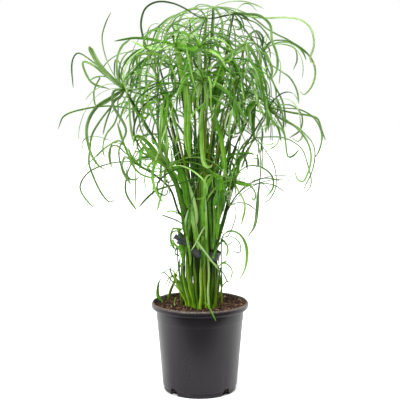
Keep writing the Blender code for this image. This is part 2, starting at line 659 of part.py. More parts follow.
def grow_clump() -> list:
    """All culms and leaves of the plant, pressed aside until they clear each other."""
    crowns = {name: sighted(*shoot.crown, shoot.depth * MM) for name, shoot in SHOOTS.items()}
    places = bundle_places({name: crowns[name] for name, shoot in SHOOTS.items() if not shoot.foot})
    culms = [culm_strand(name, shoot, crowns[name], places.get(name)) for name, shoot in SHOOTS.items()]
    press_aside(culms, set())
    leaves = []
    for number, (name, shoot) in enumerate(SHOOTS.items()):
        chance = random.Random(number)
        own = []
        for blade in shoot.blades:
            own.append(seen_leaf(name, shoot, blade, LEAF_TURN if len(own) % 2 else -LEAF_TURN))
        for heading in free_headings(crowns[name], own, shoot.grown):
            own.append(grown_leaf(name, crowns[name], heading, shoot.reach, chance))
        leaves += own
    strands = culms + leaves
    press_aside(strands, set(range(len(culms))))
    return strands


def side_directions(points: list) -> list:
    """Across direction of a ribbon at each point, carried along the chain without sudden turns."""
    runs = [(after - before).normalized() for before, after in zip(points, points[1:])]
    tangents = [runs[0]] + [(a + b).normalized() for a, b in zip(runs, runs[1:])] + [runs[-1]]
    side = tangents[0].cross(Vector((0, 0, 1)))
    if side.length < 0.05:
        side = Vector((1, 0, 0))
    sides = []
    for tangent in tangents:
        side = (side - tangent * side.dot(tangent)).normalized()
        sides.append(side)
    return list(zip(tangents, sides))


def leaf_sections(strand: Strand, root_roll: float = 0.0) -> list:
    """Three corners of a leaf at each point after its crown: two edges and the keel under them.

    A leaf that is seen turns its flat towards the eye, less its roll. Its first point may be
    rolled further, and its second half as far.
    """
    points = [Vector(point) for point in strand.points]
    eye = Vector((0, -EYE_DISTANCE, EYE_HEIGHT))
    sections = []
    for (tangent, side), point, half in list(zip(side_directions(points), points, strand.halves))[1:]:
        if strand.seen:
            side = tangent.cross(point - eye).normalized()
        further = (root_roll, root_roll / 2, 0.0)[min(2, len(sections))]
        side = Matrix.Rotation(strand.roll + further, 3, tangent) @ side
        below = tangent.cross(side) * (half * 2 * LEAF_KEEL)
        sections.append([point + side * half, point - side * half, point + below])
    return sections


def culm_sections(strand: Strand) -> list:
    """Three corners of a culm at each point below its crown, from the top down."""
    points = [Vector(point) for point in reversed(strand.points)]
    sections = []
    for (tangent, side), point, half in list(zip(side_directions(points), points, strand.halves[::-1]))[1:]:
        across = tangent.cross(side)
        corners = []
        for corner in range(3):
            angle = 2 * math.pi * corner / 3
            corners.append(point + (side * math.cos(angle) + across * math.sin(angle)) * half)
        sections.append(corners)
    last = len(sections) - 1
    for corner in sections[last]:
        corner.z = points[-1].z
    return sections


def draw_out(mesh: bmesh.types.BMesh, face: bmesh.types.BMFace, sections: list):
    """Extrude a three-cornered face through sections, in the order of corners that twists least."""
    corners = sections[0]
    heading = sum(corners, Vector()) / 3 - face.calc_center_median()
    if (corners[1] - corners[0]).cross(corners[2] - corners[0]).dot(heading) < 0:
        sections = [section[::-1] for section in sections]
    middle, target = face.calc_center_median(), sum(sections[0], Vector()) / 3
    starts = [vert.co - middle for vert in face.verts]

    def twist(turn: int) -> float:
        ends = [sections[0][(k + turn) % 3] - target for k in range(3)]
        return sum((start - end).length_squared for start, end in zip(starts, ends))

    turn = min(range(3), key=twist)
    for section in sections:
        face = bmesh.ops.extrude_discrete_faces(mesh, faces=[face])["faces"][0]
        for corner, vert in enumerate(face.verts):
            vert.co = section[(corner + turn) % 3]


def crown_faces(mesh: bmesh.types.BMesh, crown: Vector, axis: Vector, tiers: int, turn: float) -> tuple:
    """A hub of three-sided tiers: its foot, its top, and the triangles round its sides."""
    upright = Vector((0, 0, 1)).rotation_difference(axis).to_matrix().to_4x4()
    stand = Matrix.Translation(crown) @ upright @ Matrix.Rotation(turn, 4, "Z")
    bmesh.ops.create_cone(
        mesh, cap_ends=True, segments=3, radius1=CULM_TOP_RADIUS, radius2=HUB_RADIUS,
        depth=HUB_HEIGHT, matrix=stand,
    )
    mesh.faces.ensure_lookup_table()
    foot = min(mesh.faces, key=lambda face: face.calc_center_median().dot(axis))
    top = max(mesh.faces, key=lambda face: face.calc_center_median().dot(axis))
    for _ in range(tiers - 1):
        top = bmesh.ops.extrude_discrete_faces(mesh, faces=[top])["faces"][0]
        bmesh.ops.translate(mesh, verts=top.verts, vec=axis * HUB_HEIGHT)
    sides = [face for face in mesh.faces if face not in (foot, top)]
    sides = bmesh.ops.triangulate(mesh, faces=sides)["faces"]
    mesh.normal_update()
    return foot, top, sides


def share_out(leaves: list, faces: list) -> tuple:
    """Pair each leaf with a face of the hub that looks its way: the pairs, and what they cost."""
    costs = []
    for leaf in leaves:
        row = []
        for face in faces:
            heading = Vector(leaf.points[1]) - face.calc_center_median()
            angle = heading.angle(face.normal)
            row.append(angle ** 2 + STEEP_COST * max(0.0, angle - STEEP_ANGLE) ** 2)
        costs.append(row)
    chosen = list(range(len(faces)))
    improved = True
    while improved:
        improved = False
        for leaf in range(len(leaves)):
            for other in range(len(faces)):
                before = costs[leaf][chosen[leaf]]
                after = costs[leaf][chosen[other]]
                if other < len(leaves):
                    before += costs[other][chosen[other]]
                    after += costs[other][chosen[leaf]]
                if after < before - 1e-9:
                    chosen[leaf], chosen[other] = chosen[other], chosen[leaf]
                    improved = True
    pairs = [(leaf, faces[choice]) for leaf, choice in zip(leaves, chosen)]
    return pairs, sum(row[choice] for row, choice in zip(costs, chosen))


def turn_counts(triangles, spots):
    """How often a closed skin of triangles goes round each spot."""
    rays = triangles[None] - spots[:, None, None]
    a, b, c = rays[:, :, 0], rays[:, :, 1], rays[:, :, 2]
    long_a, long_b, long_c = (np.linalg.norm(ray, axis=2) for ray in (a, b, c))
    above = np.einsum("ijk,ijk->ij", a, np.cross(b, c))
    below = long_a * long_b * long_c
    below += (a * b).sum(2) * long_c + (b * c).sum(2) * long_a + (c * a).sum(2) * long_b
    return (2 * np.arctan2(above, below)).sum(axis=1) / (4 * np.pi)


def folded_share(corners: list, sections: list) -> float:
    """Share of the skin near a leaf's root that is folded through to its inside."""
    mesh = bmesh.new()
    face = mesh.faces.new([mesh.verts.new(corner) for corner in corners])
    draw_out(mesh, face, sections[:ROOT_RUNS])
    bmesh.ops.triangulate(mesh, faces=mesh.faces)
    bmesh.ops.recalc_face_normals(mesh, faces=mesh.faces)
    triangles = np.array([[tuple(vert.co) for vert in triangle.verts] for triangle in mesh.faces])
    mesh.free()
    normals = np.cross(triangles[:, 1] - triangles[:, 0], triangles[:, 2] - triangles[:, 0])
    sizes = np.linalg.norm(normals, axis=1)
    behind = triangles.mean(axis=1) - normals / sizes[:, None] * 1e-7
    return sizes[turn_counts(triangles, behind) < 0.9].sum() / sizes.sum()


def unfolded_sections(leaf: Strand, face: bmesh.types.BMFace) -> list:
    """A leaf's sections with the smallest roll of its root that keeps its skin from folding through."""
    corners = [vert.co.copy() for vert in face.verts]
    tried = []
    for roll in ROOT_ROLLS:
        sections = leaf_sections(leaf, math.radians(roll))
        tried.append((round(folded_share(corners, sections), 4), len(tried), sections))
    return min(tried)[2]


def build_shoot(name: str, culm: Strand, leaves: list) -> bpy.types.Object:
    """One shoot: the culm and all its leaves drawn out of one hub, which is turned to suit them."""
    crown = Vector(culm.points[-1])
    axis = (crown - Vector(culm.points[-2])).normalized()
    tiers = 1 + len(leaves) // 6
    costs = []
    for step in range(HUB_TURNS):
        turn = math.radians(120 * step / HUB_TURNS)
        trial = bmesh.new()
        _, top, sides = crown_faces(trial, crown, axis, tiers, turn)
        costs.append((share_out(leaves, sides + [top])[1], turn))
        trial.free()
    mesh = bmesh.new()
    foot, top, sides = crown_faces(mesh, crown, axis, tiers, min(costs)[1])
    for leaf, face in share_out(leaves, sides + [top])[0]:
        draw_out(mesh, face, unfolded_sections(leaf, face))
    draw_out(mesh, foot, culm_sections(culm))
    bmesh.ops.triangulate(mesh, faces=mesh.faces)
    bmesh.ops.recalc_face_normals(mesh, faces=mesh.faces)
    return object_from(mesh, name)


def build_single(name: str, route: tuple, width: float, blunt: bool) -> bpy.types.Object:
    """A leaf or young culm on its own, drawn out of a small three-sided foot."""
    points = [sighted(column, row, depth * MM) for column, row, depth in route]
    strand = leaf_strand(name, points, width * MM, 0, blunt)
    strand.seen = True
    heading = (points[1] - points[0]).normalized()
    mesh = bmesh.new()
    turn = Vector((0, 0, 1)).rotation_difference(heading).to_matrix().to_4x4()
    size = width * MM / 2
    bmesh.ops.create_cone(
        mesh, cap_ends=True, segments=3, radius1=size * 0.6, radius2=size * 0.8, depth=size,
        matrix=Matrix.Translation(points[0]) @ turn,
    )
    top = max(mesh.faces, key=lambda face: face.calc_center_median().dot(heading))
    draw_out(mesh, top, leaf_sections(strand))
    foot = [vert for vert in mesh.verts if (vert.co - points[0]).length < width * MM]
    lowest = min(vert.co.z for vert in foot)
    bmesh.ops.translate(mesh, verts=foot, vec=Vector((0, 0, max(0.0, SOIL_TOP + GAP - lowest))))
    bmesh.ops.triangulate(mesh, faces=mesh.faces)
    bmesh.ops.recalc_face_normals(mesh, faces=mesh.faces)
    return object_from(mesh, name)


def object_from(mesh: bmesh.types.BMesh, name: str) -> bpy.types.Object:
    """An object that holds a finished bmesh."""
    data = bpy.data.meshes.new(name)
    mesh.to_mesh(data)
    mesh.free()
    return bpy.data.objects.new(name, data)


def inner_radius(height: float) -> float:
    """Radius of the pot's hollow at a height under its flared mouth."""
    way = (height - WALL) / (HOLLOW_TOP - WALL)
    return HOLLOW_FOOT_RADIUS + (HOLLOW_TOP_RADIUS - HOLLOW_FOOT_RADIUS) * way


def pot_profile() -> list:
    """Radius and height along the pot's section, from its floor up the inside and down the outside."""
    top = POT_HEIGHT
    inside = [
        (0, WALL),
        (inner_radius(WALL) - FLOOR_BEVEL, WALL),
        (inner_radius(WALL + FLOOR_BEVEL), WALL + FLOOR_BEVEL),
        (HOLLOW_TOP_RADIUS, HOLLOW_TOP),
        (RIM_RADIUS - 5.0 * MM, top - 8.8 * MM),
        (RIM_RADIUS - 4.0 * MM, top - 1.2 * MM),
    ]
    lip = [
        (RIM_RADIUS - 2.6 * MM, top),
        (RIM_RADIUS - 1.3 * MM, top),
        (RIM_RADIUS - 0.3 * MM, top - 1.3 * MM),
        (RIM_RADIUS, top - 3.5 * MM),
        (RIM_RADIUS - 0.3 * MM, top - 7.5 * MM),
        (RIM_RADIUS - 1.4 * MM, top - 10.3 * MM),
        (RIM_RADIUS - 3.6 * MM, top - 11.8 * MM),
    ]
    outside = [
        (COLLAR_TOP_RADIUS + 2.0 * MM, COLLAR_TOP + 2.0 * MM),
        (COLLAR_TOP_RADIUS, COLLAR_TOP),
        (COLLAR_FOOT_RADIUS, COLLAR_FOOT),
        (WALL_TOP_RADIUS, COLLAR_FOOT - 1.0 * MM),
        (WALL_FOOT_RADIUS, FOOT_BAND_TOP + 1.2 * MM),
        (FOOT_BAND_RADIUS, FOOT_BAND_TOP),
        (FOOT_BAND_RADIUS - 0.2 * MM, 3.0 * MM),
        (FOOT_BAND_RADIUS - 0.8 * MM, 1.1 * MM),
        (FOOT_BAND_RADIUS - 2.2 * MM, 0),
        (0, 0),
    ]
    return inside + lip + outside


def build_pot() -> tuple:
    """The nursery pot, turned from its profile, and the cutters of its drain notches."""
    points = [(radius, 0, height) for radius, height in pot_profile()]
    data = bpy.data.meshes.new("pot")
    data.from_pydata(points, [(k, k + 1) for k in range(len(points) - 1)], [])
    pot = bpy.data.objects.new("pot", data)
    turn = pot.modifiers.new("turn", "SCREW")
    turn.steps = POT_SIDES
    turn.render_steps = POT_SIDES
    turn.use_merge_vertices = True
    turn.merge_threshold = 0.00001
    cutters = []
    for angle in NOTCH_ANGLES:
        mesh = bmesh.new()
        bmesh.ops.create_cube(mesh, size=1)
        bmesh.ops.scale(mesh, vec=(NOTCH_LENGTH, NOTCH_WIDTH, NOTCH_HEIGHT * 2), verts=mesh.verts)
        bmesh.ops.scale(
            mesh, vec=(1, NOTCH_TOP_SHARE, 1), verts=[vert for vert in mesh.verts if vert.co.z > 0]
        )
        bmesh.ops.scale(
            mesh, vec=(1, 2 - NOTCH_TOP_SHARE, 1), verts=[vert for vert in mesh.verts if vert.co.z < 0]
        )
        tops = [edge for edge in mesh.edges if all(vert.co.z > 0 for vert in edge.verts)]
        lengthways = [edge for edge in tops if abs(edge.verts[0].co.y - edge.verts[1].co.y) < MM]
        bmesh.ops.bevel(
            mesh, geom=lengthways, offset=2 * MM, segments=2, profile=0.5, affect="EDGES", material=-1
        )
        cutter = object_from(mesh, f"notch_{angle}")
        reach = WALL_FOOT_RADIUS
        radians = math.radians(angle)
        cutter.location = (reach * math.cos(radians), reach * math.sin(radians), 0)
        cutter.rotation_euler = (0, 0, radians)
        cutters.append(cutter)
        notch = pot.modifiers.new(f"notch_{angle}", "BOOLEAN")
        notch.operation = "DIFFERENCE"
        notch.solver = "EXACT"
        notch.object = cutter
    return pot, cutters


def soil_height(x: float, y: float) -> float:
    """Height of the soil: level where culms stand, lumpy and heaped to the right elsewhere."""
    away = math.hypot(x, y) - SOIL_FLAT_RADIUS
    feet = [Vector(shoot.foot) * MM for shoot in SHOOTS.values() if shoot.foot]
    column, row, depth = SPROUT_ROUTE[0]
    feet.append(sighted(column, row, depth * MM).xy)
    for foot in feet:
        away = min(away, math.hypot(x - foot.x, y - foot.y) - FOOT_FLAT_RADIUS)
    rough = min(1.0, max(0.0, away / (8 * MM)))
    lump = noise.noise(Vector((x, y, 0.3)) * 95) * SOIL_LUMP
    rise = SOIL_RISE * (x * x + y * y) / SOIL_EDGE_RADIUS ** 2
    return SOIL_TOP + rough * (lump + rise + SOIL_SLOPE_X * x + SOIL_SLOPE_Y * y)


def build_soil() -> bpy.types.Object:
    """The root ball: a plug that fits the pot's hollow and its flared mouth, with a lumpy top."""
    floor = WALL + GAP
    low = inner_radius(floor + FLOOR_BEVEL) - GAP
    high = inner_radius(SOIL_SHOULDER) - GAP
    mesh = bmesh.new()
    bmesh.ops.create_cone(
        mesh, cap_ends=True, segments=POT_SIDES, radius1=low - FLOOR_BEVEL - GAP, radius2=low,
        depth=FLOOR_BEVEL, matrix=Matrix.Translation((0, 0, floor + FLOOR_BEVEL / 2)),
    )
    top = max(mesh.faces, key=lambda face: face.calc_center_median().z)
    top = bmesh.ops.extrude_discrete_faces(mesh, faces=[top])["faces"][0]
    bmesh.ops.scale(mesh, verts=top.verts, vec=(high / low, high / low, 1))
    bmesh.ops.translate(mesh, verts=top.verts, vec=(0, 0, SOIL_SHOULDER - floor - FLOOR_BEVEL))
    top = bmesh.ops.extrude_discrete_faces(mesh, faces=[top])["faces"][0]
    bmesh.ops.scale(mesh, verts=top.verts, vec=(SOIL_EDGE_RADIUS / high, SOIL_EDGE_RADIUS / high, 1))
    for vert in top.verts:
        vert.co.z = min(SOIL_EDGE_HIGHEST, max(SOIL_EDGE_LOWEST, soil_height(vert.co.x, vert.co.y)))
    step = (SOIL_EDGE_RADIUS - SOIL_FLAT_RADIUS) / SOIL_RINGS
    for _ in range(SOIL_RINGS):
        bmesh.ops.inset_region(mesh, faces=[top], thickness=step, use_even_offset=True)
        for vert in top.verts:
            vert.co.z = soil_height(vert.co.x, vert.co.y)
    for vert in top.verts:
        vert.co.z = SOIL_TOP
    return object_from(mesh, "soil")


def build_band() -> bpy.types.Object:
    """The band round the culms: an open strip given its thickness, with one loose end."""
    mesh = bmesh.new()
    bmesh.ops.create_circle(mesh, segments=BAND_SIDES, radius=BAND_RADIUS)
    edges = list(mesh.edges)
    lower = set(mesh.verts)
    raised = bmesh.ops.extrude_edge_only(mesh, edges=edges)["geom"]
    bmesh.ops.translate(
        mesh, verts=[item for item in raised if isinstance(item, bmesh.types.BMVert)], vec=(0, 0, BAND_WIDTH)
    )
    bmesh.ops.translate(mesh, verts=mesh.verts, vec=(0, 0, -BAND_WIDTH / 2))
    right = max(
        (edge for edge in mesh.edges if all(vert in lower for vert in edge.verts)),
        key=lambda edge: sum(vert.co.x for vert in edge.verts) - abs(sum(vert.co.y for vert in edge.verts)),
    )
    tail = bmesh.ops.extrude_edge_only(mesh, edges=[right])["geom"]
    bmesh.ops.translate(
        mesh,
        verts=[item for item in tail if isinstance(item, bmesh.types.BMVert)],
        vec=(BAND_TAIL_SPREAD, 0, -BAND_TAIL),
    )
    bmesh.ops.recalc_face_normals(mesh, faces=mesh.faces)
    band = object_from(mesh, "tie_band")
    band.location = (BAND_CENTRE_X, 0, BAND_HEIGHT)
    band.rotation_euler = (0, BAND_TILT, 0)
    thick = band.modifiers.new("thickness", "SOLIDIFY")
    thick.thickness = BAND_THICKNESS
    thick.offset = 1
    return band


def material(name: str, colour: tuple, roughness: float) -> bpy.types.Material:
    """A plain finish with one colour and roughness."""
    finish = bpy.data.materials.new(name)
    finish.use_nodes = True
    shader = finish.node_tree.nodes["Principled BSDF"]
    shader.inputs["Base Color"].default_value = (*colour, 1)
    shader.inputs["Roughness"].default_value = roughness
    shader.inputs["Metallic"].default_value = 0
    return finish


def main():
    """Clear the scene, build every piece and put it in the plant's collection."""
    for item in list(bpy.data.objects):
        bpy.data.objects.remove(item)
    plant = bpy.data.collections.new("potted_papyrus")
    tools = bpy.data.collections.new("cutters")
    bpy.context.scene.collection.children.link(plant)
    bpy.context.scene.collection.children.link(tools)

    finishes = {
        "pot": material("pot_plastic", (0.045, 0.045, 0.05), 0.5),
        "soil": material("peat", (0.075, 0.045, 0.028), 0.95),
        "tie_band": material("tie_rubber", (0.05, 0.06, 0.06), 0.6),
    }
    leaf_green = material("leaf_green", (0.11, 0.26, 0.035), 0.45)

    pot, cutters = build_pot()
    for cutter in cutters:
        cutter.hide_render = True
        cutter.display_type = "WIRE"
        tools.objects.link(cutter)
    pieces = [pot, build_soil(), build_band()]
    strands = grow_clump()
    for name in SHOOTS:
        own = [strand for strand in strands if strand.shoot == name]
        pieces.append(build_shoot(name, own[0], own[1:]))
    pieces.append(build_single("leaf_over_rim", RIM_LEAF_ROUTE, RIM_LEAF_WIDTH, True))
    pieces.append(build_single("sprout_at_rim", SPROUT_ROUTE, SPROUT_WIDTH, False))
    for piece in pieces:
        piece.data.materials.append(finishes.get(piece.name, leaf_green))
        plant.objects.link(piece)
        if piece.name in finishes:
            piece.data.shade_smooth()
            piece.data.set_sharp_from_angle(angle=math.radians(35))


main()
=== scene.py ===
"""Looks of a potted papyrus: leaves, culms, band, peat and nursery pot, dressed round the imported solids.

Metres, +Z up, the front faces -Y. The leaves and the culm of a shoot follow the runs of its solid,
which are read from the frame. Further leaves grow from the same crowns, within the reach of the
solid's own. Columns and rows are those of a picture of 400 x 400 pixels taken from the front.
"""

import bisect
import logging
import math
import random
from collections.abc import Callable, Sequence
from dataclasses import dataclass, field
from enum import Enum

import bmesh
import bpy
from mathutils import Matrix, Vector, noise

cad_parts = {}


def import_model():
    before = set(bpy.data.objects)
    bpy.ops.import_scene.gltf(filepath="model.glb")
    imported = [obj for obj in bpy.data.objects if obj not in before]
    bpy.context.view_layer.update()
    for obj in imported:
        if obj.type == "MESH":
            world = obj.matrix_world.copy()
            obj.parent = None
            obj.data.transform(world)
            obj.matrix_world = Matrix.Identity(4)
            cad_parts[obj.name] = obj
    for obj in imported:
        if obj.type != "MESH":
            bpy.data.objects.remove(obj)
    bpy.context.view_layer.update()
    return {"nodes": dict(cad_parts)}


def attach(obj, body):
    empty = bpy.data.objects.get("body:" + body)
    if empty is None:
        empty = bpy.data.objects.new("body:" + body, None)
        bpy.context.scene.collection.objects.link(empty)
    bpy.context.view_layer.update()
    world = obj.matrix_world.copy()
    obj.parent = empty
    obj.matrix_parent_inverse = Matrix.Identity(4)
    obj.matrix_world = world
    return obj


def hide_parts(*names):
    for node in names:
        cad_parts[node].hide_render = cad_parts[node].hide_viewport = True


MM = 0.001
LOG = logging.getLogger("potted_papyrus")
UP = Vector((0, 0, 1))
TURN = 2 * math.pi
# Distance within which corners are welded, and the angle from which an edge is sharp.
WELD = 1e-6
SHARP = math.radians(40)

Socket = bpy.types.NodeSocket
Material = bpy.types.Material
Piece = bpy.types.Object
Corners = set[bmesh.types.BMVert]
Colour = tuple[float, float, float]
Route = tuple[tuple[float, float], ...]


def put_in_scene(name: str, data: bpy.types.ID) -> Piece:
    """Add an object to the scene, at the origin.

    Args:
        name: its name.
        data: its mesh, camera or light.

    Returns:
        The object.
    """
    added = bpy.data.objects.new(name, data)
    bpy.context.scene.collection.objects.link(added)
    return added


# The view


@dataclass(frozen=True)
class View:
    """The view from the front that routes are read in.

    Attributes:
        distance: how far in front of the pot's axis the eye is.
        tilt: angle by which it looks down.
        focal: focal length in pixels.
        middle: column and row of the picture's middle.
    """

    distance: float = 1.6
    height: float = 0.517
    tilt: float = math.radians(6.46)
    focal: float = 926.0
    middle: float = 200.0

    def eye(self) -> Vector:
        """Place of the eye."""
        return Vector((0, -self.distance, self.height))

    def sighted(self, column: float, row: float, depth: float) -> Vector:
        """Place of a point seen at a column and row, at a depth.

        Args:
            column: pixels from the picture's left side.
            row: pixels from its top.
            depth: metres behind the pot's axis.

        Returns:
            The point, in the frame of the solids.
        """
        across = (column - self.middle) / self.focal
        above = (self.middle - row) / self.focal
        away = self.distance + depth
        cosine, sine = math.cos(self.tilt), math.sin(self.tilt)
        rise = away * (above * cosine - sine) / (cosine + above * sine)
        forward = away * cosine - rise * sine
        return Vector((across * forward, depth, self.height + rise))

    def seen_at(self, point: Vector) -> tuple[float, float]:
        """Where a point is seen.

        Args:
            point: a point in the frame of the solids.

        Returns:
            Its column and row.
        """
        away, rise = point.y + self.distance, point.z - self.height
        forward = away * math.cos(self.tilt) - rise * math.sin(self.tilt)
        up = rise * math.cos(self.tilt) + away * math.sin(self.tilt)
        return self.middle + self.focal * point.x / forward, self.middle - self.focal * up / forward

    def camera(self) -> Piece:
        """Add the camera that takes this picture.

        Returns:
            The camera.
        """
        lens = bpy.data.cameras.new("front_camera")
        lens.lens = self.focal / (2 * self.middle) * lens.sensor_width
        camera = put_in_scene("front_camera", lens)
        camera.location = self.eye()
        camera.rotation_euler = (math.pi / 2 - self.tilt, 0, 0)
        return camera


VIEW = View()


# Finishes


class Recipe:
    """A node material under construction."""

    def __init__(self, name: str, fixed: dict[str, object]) -> None:
        """Start a material.

        Args:
            name: the material's name.
            fixed: shader sockets that have one value all over.
        """
        self.material = bpy.data.materials.new(name)
        self.material.use_nodes = True
        self.shader = self.material.node_tree.nodes["Principled BSDF"]
        for socket, value in fixed.items():
            self.shader.inputs[socket].default_value = value

    def node(
        self, kind: str, inputs: dict | None = None, output: int | str = 0, **settings: object
    ) -> Socket:
        """Add a node.

        Args:
            kind: its type, without the leading ShaderNode.
            inputs: values or sockets for its inputs.
            output: which output to hand back.
            **settings: its properties.

        Returns:
            The output socket.
        """
        made = self.material.node_tree.nodes.new("ShaderNode" + kind)
        for key, value in settings.items():
            setattr(made, key, value)
        for key, value in (inputs or {}).items():
            if isinstance(value, Socket):
                self.material.node_tree.links.new(value, made.inputs[key])
            else:
                made.inputs[key].default_value = value
        return made.outputs[output]

    def place(self) -> Socket:
        """Object coordinates."""
        return self.node("TexCoord", output="Object")

    def height(self) -> Socket:
        """Height over the pot's foot."""
        return self.node("SeparateXYZ", {0: self.place()}, output=2)

    def across_and_along(self) -> tuple[Socket, Socket]:
        """The piece's own map: share of the way across, and along."""
        chart = self.node("TexCoord", output="UV")
        return self.node("SeparateXYZ", {0: chart}), self.node("SeparateXYZ", {0: chart}, output=1)

    def tone(self) -> Socket:
        """The tone that each leaf, culm or crumb carries, from 0 to 1."""
        return self.node("Attribute", output="Fac", attribute_name="tone")

    def cloud(self, scale: float, detail: float = 3.0, stretch: tuple = (1, 1, 1)) -> Socket:
        """Soft noise round 0.5 on object coordinates, by its scale per metre, finer layers and stretch."""
        spot = self.node("Mapping", {"Vector": self.place(), "Scale": stretch})
        return self.node("TexNoise", {"Vector": spot, "Scale": scale, "Detail": detail})

    def sum(self, *terms: object, kind: str = "ADD") -> Socket:
        """Add terms up, or combine them by another operation of two values, from left to right.

        Args:
            *terms: values or sockets.
            kind: the operation.

        Returns:
            The result.
        """
        total = terms[0]
        for term in terms[1:]:
            total = self.node("Math", {0: total, 1: term}, operation=kind)
        return total

    def waves(self, value: Socket, count: float) -> Socket:
        """Sine waves from -1 to 1, so many to each unit of a value."""
        return self.node("Math", {0: self.sum(value, TURN * count, kind="MULTIPLY")}, operation="SINE")

    def spread(
        self, value: Socket, low: float, high: float, start: float, end: float, kind: str = "SMOOTHSTEP"
    ) -> Socket:
        """Map a value from low and high to start and end along a curve, and hold it beyond them."""
        return self.node("MapRange", {0: value, 1: low, 2: high, 3: start, 4: end}, interpolation_type=kind)

    def varied(self, cloud: Socket, start: float, end: float) -> Socket:
        """Map soft noise, nearly all of which lies between 0.3 and 0.7."""
        return self.spread(cloud, 0.3, 0.7, start, end)

    def ramp(self, factor: Socket, stops: dict[float, Colour]) -> Socket:
        """Colours along a factor.

        Args:
            factor: where on the ramp.
            stops: the colour at each position.

        Returns:
            The colour socket.
        """
        colour = self.node("ValToRGB", {0: factor})
        elements = colour.node.color_ramp.elements
        while len(elements) < len(stops):
            elements.new(1.0)
        for element, (position, shade) in zip(elements, stops.items()):
            element.position = position
            element.color = (*shade, 1)
        return colour

    def blend(self, factor: Socket, under: Socket | Colour, over: Socket | Colour) -> Socket:
        """Lay the second colour over the first, as far as a factor goes."""
        shades = [shade if isinstance(shade, Socket) else (*shade, 1) for shade in (under, over)]
        return self.node("Mix", {0: factor, 6: shades[0], 7: shades[1]}, output=2, data_type="RGBA")

    def bump(self, height: Socket, depth: float, under: Socket | None = None) -> Socket:
        """Relief from a height.

        Args:
            height: the height, from 0 to 1.
            depth: how deep it is, in metres.
            under: other relief that it lies on.

        Returns:
            The normal socket.
        """
        inputs = {"Height": height, "Distance": depth, "Strength": 1.0}
        if under is not None:
            inputs["Normal"] = under
        return self.node("Bump", inputs, output="Normal")

    def finish(self, **sockets: Socket) -> Material:
        """Link the shader's inputs.

        Args:
            **sockets: what colour, roughness and normal come from.

        Returns:
            The material.
        """
        names = {"colour": "Base Color", "roughness": "Roughness", "normal": "Normal"}
        for key, socket in sockets.items():
            self.material.node_tree.links.new(socket, self.shader.inputs[names[key]])
        return self.material


@dataclass(frozen=True)
class LeafFinish:
    """Ribbon leaf: a keel line, fine veins, a pale root, a dry tip, and greens by the leaf's tone.

    Attributes:
        name: the material's name.
        deep: the darkest green, which middle, fresh, light and pale follow by tone; light and pale also
            paint sheen.
        lime: colour of the keel and the root.
        dry: colour of the tip.
        patchy: how far patches change the tone.
        streaky: how far streaks along the leaf change it.
    """

    name: str = "ribbon_leaf"
    deep: Colour = (0.013, 0.070, 0.0003)
    middle: Colour = (0.052, 0.220, 0.0005)
    fresh: Colour = (0.150, 0.395, 0.010)
    # The top of the ramp: lighter leaves, and raised to paint sheen where a leaf's tone reaches them.
    light: Colour = (0.330, 0.600, 0.120)
    lime: Colour = (0.290, 0.540, 0.016)
    pale: Colour = (0.52, 0.74, 0.34)
    dry: Colour = (0.42, 0.34, 0.12)
    veins: int = 13
    patchy: float = 0.12
    streaky: float = 0.22
    roughness: tuple[float, float] = (0.24, 0.4)
    vein_depth: float = 0.06 * MM
    keel_depth: float = 0.2 * MM

    def streaks(self, recipe: Recipe) -> Socket:
        """Noise drawn out along the leaf, which differs from leaf to leaf.

        Args:
            recipe: the material under construction.

        Returns:
            The value, round 0.5.
        """
        chart = recipe.node("TexCoord", output="UV")
        chart = recipe.node("Mapping", {"Vector": chart, "Scale": (7, 2.5, 1)})
        drift = recipe.node("Mapping", {"Vector": recipe.place(), "Scale": (9, 9, 9)})
        chart = recipe.node("VectorMath", {0: chart, 1: drift}, output="Vector", operation="ADD")
        return recipe.node("TexNoise", {"Vector": chart, "Scale": 1.0, "Detail": 3.0})

    def material(self) -> Material:
        """Build the material.

        Returns:
            The node material.
        """
        recipe = Recipe(self.name, {"Specular IOR Level": 0.27, "Metallic": 0.0})
        across, along = recipe.across_and_along()
        patches = recipe.varied(recipe.cloud(30), -self.patchy, self.patchy)
        streaks = recipe.varied(self.streaks(recipe), -self.streaky, self.streaky)
        greens = {0.0: self.deep, 0.3: self.middle, 0.55: self.fresh, 0.78: self.light, 1.0: self.pale}
        colour = recipe.ramp(recipe.sum(recipe.tone(), patches, streaks), greens)
        lines = recipe.waves(across, self.veins)
        colour = recipe.blend(recipe.spread(lines, -1, 1, 0, 0.16, "LINEAR"), colour, self.fresh)
        off_keel = recipe.node("Math", {0: recipe.sum(across, -0.5)}, operation="ABSOLUTE")
        colour = recipe.blend(recipe.spread(off_keel, 0.02, 0.09, 0.25, 0), colour, self.lime)
        colour = recipe.blend(recipe.spread(along, 0.0, 0.12, 0.35, 0), colour, self.lime)
        colour = recipe.blend(recipe.spread(along, 0.95, 1.0, 0, 0.6), colour, self.dry)
        keel = recipe.bump(recipe.spread(off_keel, 0.0, 0.1, 0, 1), self.keel_depth)
        return recipe.finish(
            colour=colour,
            roughness=recipe.varied(recipe.cloud(120), *self.roughness),
            normal=recipe.bump(lines, self.vein_depth, keel),
        )


